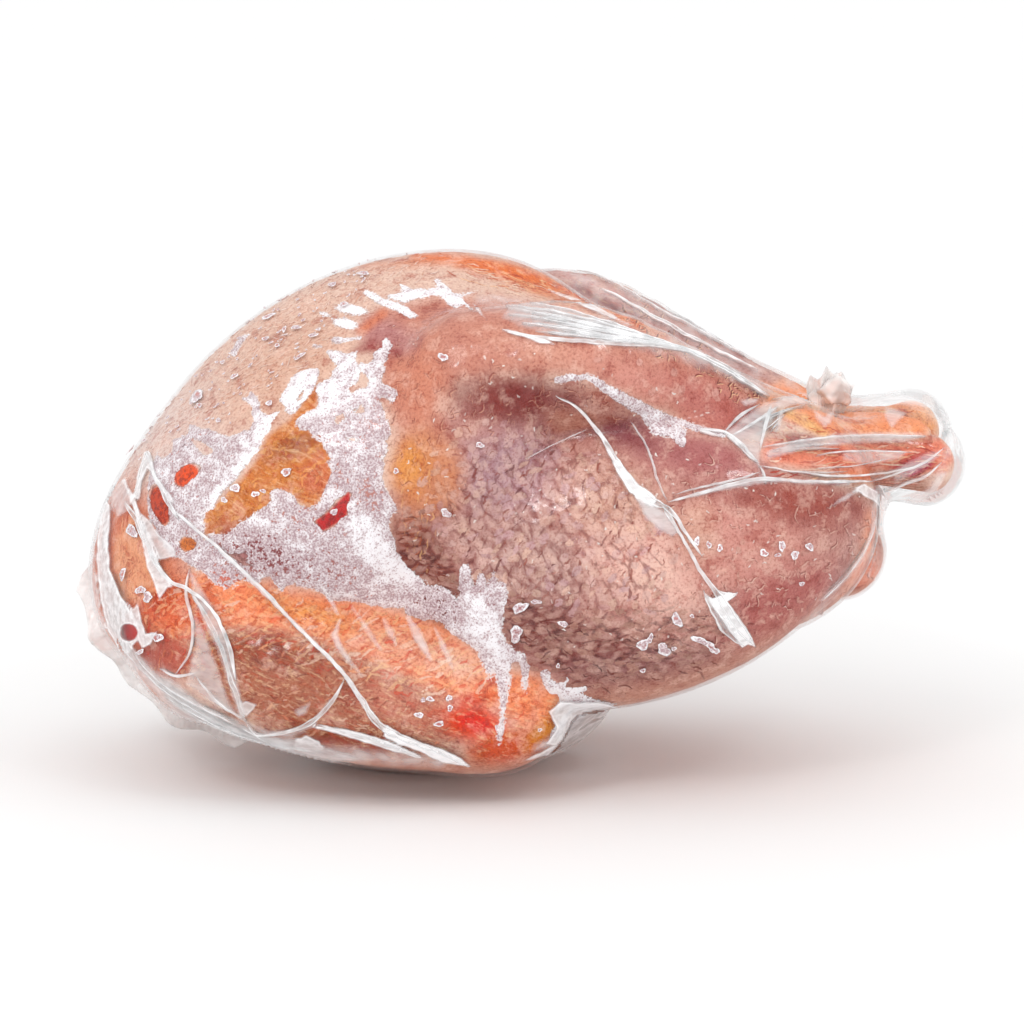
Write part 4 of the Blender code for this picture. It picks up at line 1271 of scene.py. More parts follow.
milkShapes = (     # how opaque, shape: film that lies double, clouded or frosted on its inside
    (0.70, ("outline", ((103, 493), (102, 500), (99, 533), (97, 560), (99, 587), (104, 613),
                        (109, 632), (120, 648), (128, 652), (138, 640), (137, 622), (128, 606),
                        (119, 590), (111, 570), (109, 548), (111, 523), (111, 505)))),
    (0.40, ("outline", ((108, 494), (118, 482), (126, 478), (134, 500), (128, 512), (118, 520),
                        (113, 510)))),
    (0.45, ("outline", ((90, 512), (97, 500), (95, 560), (101, 608), (108, 628), (102, 630), (93, 600),
                        (87, 560)))),
    (0.40, ("outline", ((110, 630), (122, 638), (138, 650), (154, 668), (180, 682), (207, 706),
                        (238, 718), (262, 732), (300, 738), (340, 750), (380, 760), (340, 764),
                        (290, 761), (240, 752), (200, 735), (176, 716), (150, 690), (126, 664)))),
    (0.30, ("outline", ((196, 640), (206, 650), (222, 684), (238, 712), (226, 712), (206, 700),
                        (186, 684), (190, 660)))),
    (0.34, ("outline", ((188, 565), (193, 573), (207, 593), (220, 620), (232, 647), (237, 670),
                        (242, 693), (245, 717), (240, 722), (230, 693), (220, 660), (208, 633),
                        (200, 617), (192, 597)))),
    (0.30, ("outline", ((193, 610), (201, 620), (212, 648), (222, 676), (232, 706), (222, 700),
                        (208, 680), (196, 650), (193, 630)))),
    (0.34, ("stroke", (6, 9, 8, 5), ((246, 722), (267, 732), (292, 734), (312, 724), (330, 700)))),
    (0.60, ("outline", ((298, 740), (306, 735), (320, 741), (322, 748), (306, 750), (296, 746)))),
    (0.50, ("outline", ((240, 703), (246, 700), (257, 704), (254, 710), (246, 716)))),
    (0.40, ("outline", ((292, 710), (300, 706), (312, 700), (308, 714), (298, 718)))),
    (0.75, ("stroke", (3, 7, 8, 4), ((317, 727), (354, 735), (387, 745), (420, 757)))),
    (0.95, ("outline", ((386, 724), (398, 734), (420, 742), (444, 749), (462, 758), (472, 767),
                        (446, 764), (420, 752), (398, 744), (384, 736)))),
    (0.50, ("stroke", (2, 4, 5, 4, 4, 6, 4), ((176, 512), (209, 539), (238, 566), (290, 619),
                                              (343, 672), (365, 706), (384, 730)))),
    (0.58, ("outline", ((134, 498), (137, 477), (145, 452), (148, 452), (160, 480), (173, 497),
                        (178, 506), (168, 502), (156, 482), (148, 468), (143, 480), (140, 500)))),
    (0.66, ("outline", ((123, 478), (127, 480), (135, 497), (143, 520), (155, 547), (163, 573),
                        (175, 587), (168, 588), (160, 600), (155, 587), (148, 567), (140, 533),
                        (132, 500)))),
    (0.50, ("outline", ((140, 512), (150, 520), (160, 534), (176, 548), (178, 556), (160, 560),
                        (150, 540)))),
    (0.62, ("outline", ((128, 602), (138, 602), (142, 618), (146, 634), (158, 632), (152, 644),
                        (142, 650), (138, 640), (136, 628)))),
    (0.26, ("outline", ((478, 292), (500, 295), (545, 303), (606, 319), (655, 337), (701, 352),
                        (764, 384), (768, 396), (700, 358), (660, 347), (613, 344), (560, 338),
                        (520, 328), (500, 318), (508, 308), (496, 300)))),
    (0.75, ("outline", ((500, 328), (514, 331), (530, 335), (548, 340), (556, 345), (540, 343),
                        (524, 337), (508, 333)))),
    (0.55, ("outline", ((478, 306), (484, 316), (490, 322), (484, 318), (476, 310), (470, 300)))),
    (0.85, ("stroke", (1, 5, 9, 12, 10), ((600, 436), (612, 456), (622, 472), (634, 488), (652, 500)))),
    (0.45, ("outline", ((632, 492), (650, 500), (668, 512), (680, 532), (672, 538), (656, 530),
                        (642, 514)))),
    (0.90, ("outline", ((703, 592), (713, 598), (728, 592), (738, 594), (728, 602), (740, 618),
                        (750, 634), (757, 648), (748, 644), (742, 648), (730, 632), (716, 612)))),
    (0.32, ("outline", ((724, 433), (745, 415), (762, 403), (780, 398), (795, 404), (778, 412),
                        (768, 430), (762, 446), (760, 470), (748, 458)))),
    (0.46, ("outline", ((738, 400), (748, 397), (760, 398), (756, 405), (744, 407)))),
    (0.45, ("outline", ((770, 403), (784, 396), (800, 392), (818, 396), (838, 392), (836, 402),
                        (822, 408), (806, 406), (790, 408), (778, 412)))),
    (0.45, ("outline", ((781, 400), (790, 402), (784, 414), (780, 430), (774, 434), (776, 416)))),
    (0.40, ("outline", ((812, 408), (824, 416), (834, 410), (832, 424), (824, 430), (814, 420)))),
    (0.36, ("outline", ((812, 396), (860, 391), (905, 394), (930, 402), (944, 413), (930, 410),
                        (900, 406), (860, 409), (826, 408)))),
    (0.42, ("outline", ((884, 405), (908, 413), (892, 430), (884, 420)))),
    (0.40, ("outline", ((936, 414), (948, 418), (952, 430), (940, 432), (936, 424)))),
    (0.30, ("outline", ((930, 402), (946, 412), (956, 430), (957, 446), (951, 440), (940, 420)))),
    (0.34, ("outline", ((764, 450), (800, 438), (850, 432), (920, 432), (930, 438), (900, 443),
                        (850, 445), (800, 452), (766, 462)))),
    (0.30, ("outline", ((840, 452), (880, 448), (912, 450), (900, 460), (870, 466), (842, 462)))),
    (0.28, ("outline", ((890, 470), (925, 452), (944, 448), (940, 458), (918, 472), (894, 486)))),
    (0.45, ("outline", ((758, 466), (762, 478), (790, 480), (830, 482), (858, 488), (830, 486),
                        (790, 484), (758, 484)))),
    (0.40, ("stroke", (2, 6, 7, 4), ((827, 509), (838, 502), (848, 496), (858, 490)))),
    (0.55, ("outline", ((852, 488), (864, 484), (880, 492), (888, 500), (884, 512), (876, 504),
                        (864, 496)))),
    (0.34, ("outline", ((884, 502), (905, 498), (928, 486), (942, 470), (948, 472), (938, 492),
                        (918, 506), (886, 514)))),
    (0.42, ("stroke", (5, 5, 5, 3), ((873, 506), (872, 530), (862, 560), (836, 590)))),
    (0.40, ("stroke", (3, 6, 4), ((880, 512), (877, 545), (868, 576)))),
    (0.64, ("outline", ((548, 712), (560, 700), (580, 702), (604, 702), (622, 709), (606, 716),
                        (590, 722), (572, 735), (556, 746), (545, 744), (556, 728)))),
    (0.52, ("outline", ((520, 762), (540, 752), (560, 742), (590, 722), (622, 709), (640, 704),
                        (624, 716), (590, 734), (560, 752)))),
    (0.34, ("stroke", (4, 7, 8, 4), ((352, 606), (364, 624), (372, 638), (381, 650)))),
    (0.30, ("stroke", (6, 10, 10, 5), ((384, 620), (390, 632), (396, 644)))),
    (0.44, ("stroke", (7, 12, 11, 5), ((408, 617), (416, 632), (424, 648), (431, 660)))),
    (0.36, ("stroke", (4, 9, 8, 3), ((435, 628), (443, 646), (449, 660), (454, 672)))),
    (0.44, ("stroke", (3, 7, 8, 4), ((322, 586), (332, 602), (338, 614)))),
    (0.44, ("stroke", (5, 9, 8, 7, 3), ((340, 620), (334, 634), (340, 648), (350, 662), (362, 676)))),
    (0.45, ("stroke", (2, 8, 7, 4), ((668, 502), (720, 488), (772, 480), (850, 484)))),
    (0.60, ("stroke", (2, 6, 2), ((548, 290), (590, 306), (628, 324)))),
)


def milkField(across, down):
    # depth in pixels inside the bands, and how opaque the deepest one is
    depth = np.full(len(across), -60.0)
    opaque = np.zeros(len(across))
    plane = np.column_stack((across, down))
    warp = 1.0 * roughness(plane, 9, 230, 2)
    for amount, shape in milkShapes:
        here = depthIn(across, down, shape) + warp
        edge = (-5.0, 0.0) if amount >= 0.5 else (-1.0, 4.5)
        opaque = np.maximum(opaque, amount * eased(*edge, here))
        depth = np.maximum(depth, here)
    return np.minimum(depth, -windowDepth(across, down, {**windows, **clearings})), opaque


def addMilk(name, side, material):
    def depthAt(across, down):
        depth = milkField(across, down)[0]
        return depth if side < 0 else np.minimum(depth, -depthIn(across, down, milk["nearOnly"]))

    top, low, quads, across, down, depth, _ = pixelSheet(
        "film", milk["box"], side, depthAt,
        lambda x, y, depth: milk["thick"] * eased(-3, 3, depth), milk["sunk"], sheet["deepRounds"])
    opaque = milkField(across, down)[1]
    piece = newPiece(name, np.vstack((top, low)), quads, None,
                     {"haze": np.tile(opaque, 2), "depth": np.concatenate((depth, depth - 100))}, material)
    return piece


# Creases: pleats of doubled film, each a ridge carried along a path on the film

creaseProfile = {
    "top": 9, "sink": 1.1,       # points over it, mm that its lower edges are sunk
    "step": 1.8,                 # pixels between rings
    "wander": 0.9, "farDrift": 12,     # pixels off its path, and more on the far side
    "jump": 5,                   # mm between rings, past which it bridges two forms
    "rise": 0.6,                 # of its named height
    "flatFrom": (0.8, 1.8),      # mm of width over which it turns into a flat band with lips
    "capSunk": 0.2,
}
creases = (    # width along it in mm, height in mm, haze, path in pixels
    ((0.3, 0.7, 1.0, 1.5, 2.0, 2.6, 2.2), 0.55, 0.80,
     ((556, 396), (577, 408), (600, 433), (614, 456), (625, 475), (643, 495), (666, 508))),
    ((1.6, 1.2, 1.0, 0.9, 0.4), 0.55, 0.65, ((660, 503), (676, 517), (686, 533), (694, 545), (703, 557))),
    ((1.4, 0.9, 0.8, 0.8, 1.1, 1.9, 2.6, 2.4, 0.8), 0.55, 0.62, (
        (664, 507), (678, 530), (690, 552), (703, 574), (716, 592), (727, 608), (738, 624),
        (748, 638), (755, 647))),
    ((0.5, 1.4, 2.4, 2.8, 2.0, 0.5), 0.45, 0.60,
     ((703, 590), (709, 602), (718, 618), (728, 632), (738, 642), (745, 647))),
    ((0.5, 1.6, 0.6), 0.40, 0.70, ((716, 590), (728, 596), (738, 593))),
    ((0.3, 0.5, 0.6, 0.7, 0.3), 0.30, 0.35, ((630, 420), (646, 446), (654, 468), (661, 488), (668, 503))),
    ((0.4, 0.9, 1.2, 1.0, 0.7, 0.8, 0.4), 0.45, 0.50,
     ((668, 502), (700, 493), (730, 485), (762, 479), (800, 481), (840, 482), (874, 481))),
    ((0.3, 0.6, 0.7, 0.4), 0.35, 0.40, ((676, 494), (705, 486), (735, 480), (760, 472))),
    ((0.3, 0.4, 0.3), 0.20, 0.30, ((526, 459), (557, 443), (588, 429))),
    ((0.3, 1.0, 1.5, 1.2, 1.6, 1.0), 0.50, 0.60,
     ((493, 294), (545, 303), (606, 319), (655, 337), (701, 352), (766, 386))),
    ((0.3, 1.0, 1.4, 1.1, 1.5, 1.2), 0.50, 0.62,
     ((502, 329), (545, 338), (613, 343), (660, 346), (700, 356), (770, 396))),
    ((0.5, 0.6, 0.5, 0.3), 0.30, 0.45, ((548, 301), (506, 303), (500, 312), (530, 318), (570, 320))),
    ((0.8, 1.0, 0.8, 0.6), 0.50, 0.55, ((724, 436), (700, 430), (728, 433), (757, 461))),
    ((1.0, 1.3, 1.0), 0.60, 0.60, ((724, 432), (741, 446), (759, 463))),
    ((0.7, 0.9, 0.6), 0.50, 0.50, ((724, 432), (741, 415), (760, 404))),
    ((0.6, 0.9, 0.6), 0.50, 0.50, ((730, 436), (752, 424), (780, 405))),
    ((0.7, 1.1, 0.7), 0.55, 0.50, ((760, 450), (764, 430), (771, 404))),
    ((0.5, 0.8, 0.5), 0.45, 0.45, ((758, 463), (763, 472), (766, 484))),
    ((0.3, 0.7, 0.5, 0.4, 0.3), 0.40, 0.45, ((762, 447), (810, 440), (850, 436), (882, 435), (925, 437))),
    ((0.3, 0.5, 0.5, 0.3), 0.35, 0.50, ((817, 455), (837, 452), (870, 451), (912, 452))),
    ((0.3, 0.5, 0.6, 0.5, 0.3), 0.35, 0.50, ((760, 466), (800, 472), (850, 476), (900, 470), (931, 461))),
    ((0.4, 0.7, 0.7, 0.4), 0.40, 0.42, ((872, 481), (900, 472), (925, 462), (945, 447))),
    ((0.4, 0.7, 0.8, 0.4), 0.40, 0.45, ((884, 492), (905, 484), (926, 476), (942, 462))),
    ((0.6, 1.3, 1.5, 1.2), 0.50, 0.55, ((770, 398), (800, 400), (850, 400), (900, 402))),
    ((0.5, 1.2, 1.4, 0.9), 0.45, 0.45, ((884, 502), (880, 522), (879, 548), (877, 572))),
    ((0.4, 0.9, 0.9, 0.5), 0.35, 0.40, ((878, 512), (868, 545), (846, 577), (821, 602))),
    ((0.5, 1.2, 1.0, 0.4), 0.40, 0.50, ((850, 486), (868, 492), (880, 503), (886, 512))),
    ((0.8, 1.6, 1.3, 1.0, 1.6, 0.6), 0.60, 0.62,
     ((135, 500), (140, 478), (147, 453), (155, 475), (168, 500), (180, 520))),
    ((1.0, 0.8, 0.8, 1.0, 0.9, 0.8, 1.0, 1.2, 1.8, 2.2, 1.6, 0.5), 0.55, 0.55, (
        (176, 512), (209, 539), (238, 566), (266, 592), (290, 619), (312, 642), (343, 672),
        (362, 700), (380, 725), (408, 740), (439, 752), (469, 767))),
    ((1.2, 2.0, 1.4, 1.2, 1.0, 0.8, 1.0, 1.1, 0.6), 0.60, 0.58, (
        (124, 500), (137, 520), (148, 546), (158, 566), (172, 582), (190, 590), (213, 612),
        (229, 646), (236, 680))),
    ((0.6, 1.2, 1.4, 1.0, 1.6, 0.8), 0.50, 0.40,
     ((190, 590), (212, 628), (222, 650), (232, 682), (240, 706), (246, 722))),
    ((0.4, 0.8, 0.9, 0.7, 0.4), 0.45, 0.45,
     ((189, 569), (186, 596), (193, 624), (190, 652), (176, 674))),
    ((0.5, 0.9, 0.5), 0.40, 0.45, ((160, 668), (176, 676), (200, 672))),
    ((0.4, 1.0, 1.4, 1.2, 0.9, 0.4), 0.50, 0.50,
     ((345, 678), (333, 700), (314, 720), (290, 731), (262, 735), (240, 728))),
    ((1.6, 2.8, 3.0, 2.6, 1.4), 0.50, 0.62,
     ((101, 498), (103, 530), (105, 562), (109, 600), (122, 626))),
    ((0.5, 1.0, 1.4, 1.0), 0.45, 0.50, ((317, 725), (354, 733), (387, 744), (421, 757))),
    ((0.5, 1.6, 2.2, 1.4), 0.45, 0.50, ((262, 748), (300, 753), (340, 759), (378, 762))),
    ((0.4, 0.9, 1.1, 0.6), 0.50, 0.42, ((118, 640), (140, 668), (170, 694), (205, 716))),
    ((0.4, 0.8, 1.0, 0.5), 0.50, 0.42, ((132, 650), (158, 680), (196, 704), (236, 724))),
    ((0.5, 1.0, 0.5), 0.45, 0.45, ((196, 676), (216, 700), (246, 722))),
    ((0.5, 0.9, 0.4), 0.45, 0.45, ((246, 722), (258, 736), (276, 748))),
    ((0.5, 1.0, 0.4), 0.45, 0.45, ((246, 722), (238, 738), (230, 750))),
)
farLegCreases = (
    ((0.4, 1.0, 1.4, 1.2, 1.0, 0.6), 0.45, 0.70,
     ((600, 287), (620, 297), (650, 314), (700, 341), (758, 370))),
    ((0.3, 0.7, 0.8, 0.6, 0.4), 0.35, 0.55, ((600, 276), (625, 288), (650, 303), (700, 330), (745, 354))),
    ((0.4, 1.2, 1.0, 0.5), 0.40, 0.75, ((548, 284), (585, 296), (612, 308), (640, 322))),
    ((0.4, 0.8, 0.7, 0.4), 0.35, 0.60, ((620, 300), (660, 324), (700, 345), (735, 362))),
    ((0.6, 1.4, 1.8, 1.8, 1.0), 0.40, 0.50, ((650, 300), (690, 322), (720, 338), (760, 358), (796, 372))),
)
fineLine = {
    "edgeStep": 4.0,                          # pixels between the points of a bundle's edge
    "points": 24, "kept": 3,                  # points along a line, and every third is used
    "margin": 0.02, "slant": 0.12,            # shares of the way from one edge to the other
    "begin": (0, 0.35), "end": (0.6, 1.0),    # shares of its length
    "width": (0.2, 0.42), "height": (0.12, 0.3),     # mm
    "hazeShare": (0.6, 1.5),
}
bundles = (    # film drawn into fine lines: count, haze, upper edge, lower edge
    (34, 0.75, ((492, 297), (545, 304), (606, 320), (655, 338), (701, 353), (764, 386)),
     ((500, 326), (545, 334), (613, 341), (660, 345), (700, 355), (768, 394))),
    (7, 0.5, ((744, 404), (770, 398), (800, 398), (826, 398)),
     ((752, 452), (768, 440), (778, 424), (800, 410))),
    (4, 0.30, ((764, 446), (800, 438), (850, 434), (900, 432)),
     ((764, 470), (800, 478), (850, 480), (900, 470))),
    (12, 0.7, ((150, 690), (200, 722), (260, 744), (330, 758)),
     ((130, 664), (180, 700), (250, 735), (330, 748))),
)


def evenly(pixels, step):
    # the same line with points at equal steps along it
    run = np.concatenate(([0], np.cumsum(np.linalg.norm(np.diff(pixels, axis=0), axis=1))))
    count = max(6, int(run[-1] / step))
    s = np.linspace(0, run[-1], count)
    return np.column_stack([np.interp(s, run, pixels[:, k]) for k in range(2)])


def ridges(name, lines, side, seed, material):
    # lines: widths, height, haze and pixels each. Over the film a ring is either a half oval,
    # h sqrt(1 - u²), or where it is wide a flat band with two lips, exp(-((|u| - 0.75) / 0.2)²);
    # two points sunk under the film close it
    random = np.random.default_rng(seed)
    paths = []
    for widths, height, haze, pixels in lines:
        path = evenly(smoothLine(pixels, 10), creaseProfile["step"])
        wander = roughness(path + random.uniform(0, 900), 14, seed, 2)
        path = path + creaseProfile["wander"] * np.column_stack((wander, -wander))
        paths.append(path)
    together = np.vstack(paths)
    if side > 0:
        together = together + creaseProfile["farDrift"] * np.column_stack(
            (roughness(together, 90, seed + 1, 1), roughness(together, 90, seed + 2, 1)))
    base, outward, missed = onFilm(together, side)
    u = np.cos(np.linspace(0, math.pi, creaseProfile["top"]))
    u = np.concatenate((u, (-0.6, 0.6)))
    sunk = np.arange(len(u)) >= creaseProfile["top"]
    dome, lips = np.sqrt(1 - u * u), np.exp(-((np.abs(u) - 0.75) / 0.2) ** 2)
    sides = len(u)
    points, quads, triangles, haze, start, first = [], [], [], [], 0, 0
    for (widths, height, cloud, _), path in zip(lines, paths):
        count = len(path)
        here = slice(first, first + count)
        first += count
        gaps = np.linalg.norm(np.diff(base[here], axis=0), axis=1)
        if missed[here].any() or (gaps > creaseProfile["jump"]).any():
            continue
        p, n = base[here], outward[here]
        t = np.linspace(0, 1, count)
        wide = np.interp(t, np.linspace(0, 1, len(widths)), widths)
        wide = wide * (1 + 0.30 * roughness(path + 50, 9, seed + 3, 2))
        ends = np.minimum(1, np.minimum(t, 1 - t) * count / 5)
        tall = creaseProfile["rise"] * height * np.sqrt(ends)
        tall = tall * (1 + 0.35 * roughness(path + 80, 7, seed + 4, 2))
        flat = eased(*creaseProfile["flatFrom"], wide)[:, None]
        rise = dome[None] * (1 - flat) + flat * (0.25 * dome + 0.75 * lips)[None]
        rise = np.where(sunk[None], -creaseProfile["sink"], rise * tall[:, None])
        along = np.gradient(p, axis=0)
        sideways = np.cross(along, n)
        sideways /= np.maximum(np.linalg.norm(sideways, axis=1), 1e-9)[:, None]
        reach = 0.5 * (wide * (0.3 + 0.7 * ends))[:, None] * u[None]
        rings = p[:, None] + sideways[:, None] * reach[:, :, None] + n[:, None] * rise[:, :, None]
        caps = p[[0, -1]] - creaseProfile["capSunk"] * n[[0, -1]]
        quads.append(start + ringQuads(count, sides)[:, backwards])
        j = np.arange(sides)
        after = (j + 1) % sides
        last = (count - 1) * sides
        triangles.append(start + np.column_stack((np.full(sides, count * sides), after, j)))
        triangles.append(start + np.column_stack((np.full(sides, count * sides + 1),
                                                  last + j, last + after)))
        run = np.repeat(t[:, None] * count * creaseProfile["step"], sides, axis=1)
        streaky = roughness(np.column_stack((run.ravel() / 3.5, (reach * 3.6).ravel())), 1.3,
                            seed + 5, 2).reshape(count, sides)
        # the haze rises along a flat band's lips: the doubled film's own whiteness, with a painted
        # highlight on the pleat's edges
        crest = 1.3 * cloud * (1 - flat) + flat * cloud * (0.35 + 1.2 * lips + 0.5 * streaky)
        crest = np.where(sunk[None], 0.0, crest * (0.25 + 0.75 * ends)[:, None])
        haze.append(np.concatenate((np.clip(crest, 0, 1).ravel(), (0.2, 0.2))))
        points.append(np.vstack((rings.reshape(-1, 3), caps)))
        start += count * sides + 2
    haze = np.concatenate(haze)
    piece = newPiece(name, rested(np.vstack(points), 0.1), np.vstack(quads), np.vstack(triangles),
                     {"haze": haze}, material)
    return piece


def fineLines(seed, part=1.0):
    # the lines of every bundle, each somewhere between its two edges
    random = np.random.default_rng(seed)
    lines = []
    for count, haze, upper, lower in bundles:
        top, low = (evenly(smoothLine(edge, 8), fineLine["edgeStep"]) for edge in (upper, lower))
        steps = np.linspace(0, 1, fineLine["points"])
        top, low = (np.column_stack([np.interp(steps, np.linspace(0, 1, len(edge)), edge[:, k])
                                     for k in range(2)]) for edge in (top, low))
        for _ in range(int(count * part)):
            share = random.uniform(fineLine["margin"], 1 - fineLine["margin"])
            share = share + random.uniform(-fineLine["slant"], fineLine["slant"]) * steps
            share = np.clip(share, 0, 1)[:, None]
            begin, end = random.uniform(*fineLine["begin"]), random.uniform(*fineLine["end"])
            kept = (steps >= begin) & (steps <= end)
            path = (top * (1 - share) + low * share)[kept]
            width = random.uniform(*fineLine["width"])
            height = random.uniform(*fineLine["height"])
            cloud = min(1.0, haze * random.uniform(*fineLine["hazeShare"]))
            lines.append(((0.5 * width, width, 0.6 * width), height, cloud, path[::fineLine["kept"]]))
    return lines


# The flesh that lies against the film between the two shanks

web = {
    "box": (766, 946, 392, 452), "under": 1.0, "drop": 3, "bumps": 0.35, "sunk": 4.0,     # pixels, mm
    "shape": ("outline", ((778, 405), (800, 403), (840, 405), (895, 407), (922, 413), (934, 424),
                          (936, 436), (900, 438), (850, 438), (800, 446), (782, 444), (774, 424))),
}


def addWeb(material):
    # height = -under, falling away by the drop over the last pixels before the rim
    def depthAt(across, down):
        return depthIn(across, down, web["shape"])

    def heightAt(across, down, depth):
        return -web["under"] - web["drop"] * eased(4, -3, depth)

    top, low, quads, across, down, depth, outward = pixelSheet(
        "film", web["box"], -1, depthAt, heightAt, web["sunk"], sheet["deepRounds"])
    bumps = roughness(np.column_stack((across / 3, down)), 5, 260, 3)
    top = top + outward * (web["bumps"] * bumps * eased(-2, 4, depth))[:, None]
    traits, _, _, _ = skinTraits(top, outward, False)
    attributes = {key: np.concatenate((values, values)) for key, values in traits.items()}
    piece = newPiece("shank_flesh", np.vstack((top, low)), quads, None, attributes, material)
    return piece


# The spare film at the neck end, the tuft over the hocks

def flatGrid(rows, columns, long, tall):
    # shares t and s along the two sides of a sheet, and its points laid out flat, in mm
    t = np.linspace(0, 1, rows)[:, None]
    s = np.linspace(0, 1, columns)[None, :]
    plane = (np.repeat(t, columns, 1).ravel() * long, np.repeat(s, rows, 0).ravel() * tall)
    return t, s, np.column_stack(plane)


def twoLayers(name, middle, gap, haze, material):
    # a closed sleeve of film: two layers, before and behind rows and columns of points
    aside = gap[..., None] * np.array((0.0, -1.0, 0.0))
    front, back = middle + aside, middle - aside
    rows, columns = middle.shape[:2]
    ring = np.concatenate((front, back[:, ::-1]), axis=1)
    sides = 2 * columns
    quads = ringQuads(rows, sides)[:, backwards]
    j = np.arange(columns - 1)
    far = (rows - 1) * sides
    first = np.column_stack((j, sides - 1 - j, sides - 2 - j, j + 1))
    last = far + np.column_stack((j, j + 1, sides - 2 - j, sides - 1 - j))
    milky = np.concatenate((haze, haze[:, ::-1]), axis=1).ravel()
    piece = newPiece(name, ring.reshape(-1, 3), np.vstack((quads, first, last)), None,
                     {"haze": milky}, material)
    return piece


def addNeckFlap(material):
    # radius = edge - depth (1 - s); it sways by sin(waves t), with finer ripples, more to the edge
    t, s, plane = flatGrid(*neckFlap["grid"], *neckFlap["laidOut"])
    turn = np.radians(neckFlap["from"] + (neckFlap["to"] - neckFlap["from"]) * t)
    edge, ends = flapEdge(t)
    radius = edge - neckFlap["depth"] * ends * (1 - s)
    x = neckFlap["centre"][0] + shift[0] + radius * np.cos(turn)
    z = neckFlap["centre"][1] + radius * np.sin(turn)
    sway = neckFlap["sway"] * np.sin(neckFlap["waves"] * t) * (1 - 0.4 * t) * s ** 1.3
    ripple = roughness(plane, 3.2, 110, 2).reshape(neckFlap["grid"])
    y = sway + 0.9 * ripple * s
    middle = np.stack((x + 0.3 * ripple, y, z), axis=-1)
    gap = (0.15 + 1.3 * (1 - s) ** 1.5) * np.ones_like(t) + 0.35 * np.abs(ripple) * (1 - s)
    bead = 0.18 * np.exp(-((1 - s) / 0.05) ** 2)
    haze = 0.60 + 0.25 * s ** 4 + 0.45 * ripple
    return twoLayers("neck_flap", middle, gap + bead, haze * np.ones_like(gap), material)


tuft = {
    "base": (85.0, 3.0, 93.0),
    "height": 16.5, "width": 13.0,
    "folds": 2.5, "foldDepth": 2.8,
    "grid": (90, 20), "laidOut": (40, 16),     # points, and mm, across it and up
    "knobs": ((86.5, 2.4, 103.5, 4.6), (83.0, 3.4, 100.5, 3.4), (90.6, 3.0, 102.0, 3.0)),
    "facets": 16,                # planes that cut each knob
}


def addTuft(material):
    # a pleated fan: fold = depth sin(2π folds t) growing with height, and crumpled
    t, s, plane = flatGrid(*tuft["grid"], *tuft["laidOut"])
    x0, y0, z0 = np.array(tuft["base"]) + shift
    across = t - 0.5
    fold = tuft["foldDepth"] * np.sin(2 * math.pi * tuft["folds"] * t)
    top = tuft["height"] * (1 - 1.1 * across ** 2 + 0.06 * np.sin(19 * t))
    crumple = roughness(plane, 4.0, 120, 3).reshape(tuft["grid"])
    x = x0 + tuft["width"] * across * (0.6 + 0.4 * s) + 1.5 * s + 0.5 * crumple * s
    y = y0 + fold * (0.2 + 0.8 * s) + 0.8 * crumple * s
    z = z0 + top * s + 0.3 * crumple * s
    middle = np.stack((x, y, z), axis=-1)
    gap = 0.25 + 0.5 * (1 - s) + 0.0 * t
    haze = 0.65 + 0.35 * crumple + 0.25 * s ** 3
    return twoLayers("film_tuft", middle, gap, haze, material)


def addKnobs(material):
    # crumpled film: r = size · least of h/(d·n) over random planes, so that it is faceted
    random = np.random.default_rng(7)
    rows, columns = 26, 44
    polar = (np.arange(rows) + 1) / (rows + 1) * math.pi
    around = 2 * math.pi * np.arange(columns) / columns
    d = np.stack((np.sin(polar)[:, None] * np.cos(around), np.sin(polar)[:, None] * np.sin(around),
                  np.cos(polar)[:, None] + 0 * around), axis=-1).reshape(-1, 3)
    d = np.vstack((d, (0, 0, 1), (0, 0, -1)))
    quads, triangles = gridFaces(rows, columns)
    allPoints, allQuads, allTriangles = [], [], []
    for k, (x, y, z, size) in enumerate(tuft["knobs"]):
        planes = random.normal(size=(tuft["facets"], 3))
        planes /= np.linalg.norm(planes, axis=1)[:, None]
        heights = random.uniform(0.55, 1.0, tuft["facets"])
        reach = d @ planes.T
        reach = np.where(reach > 0.2, heights / np.maximum(reach, 0.2), 2.0).min(axis=1)
        radius = size * np.minimum(reach, 1.25) * (1 + 0.10 * roughness(d + 5 * k, 0.5, 130 + k, 2))
        allPoints.append(d * radius[:, None] + np.array((x, y, z)) + shift)
        allQuads.append(quads + k * len(d))
        allTriangles.append(triangles + k * len(d))
    haze = 0.85 + 0.25 * roughness(np.vstack(allPoints), 2.5, 133, 2)
    piece = newPiece("film_knot", np.vstack(allPoints), np.vstack(allQuads), np.vstack(allTriangles),
                     {"haze": haze}, material)
    return piece


# Small frost flakes between skin and film

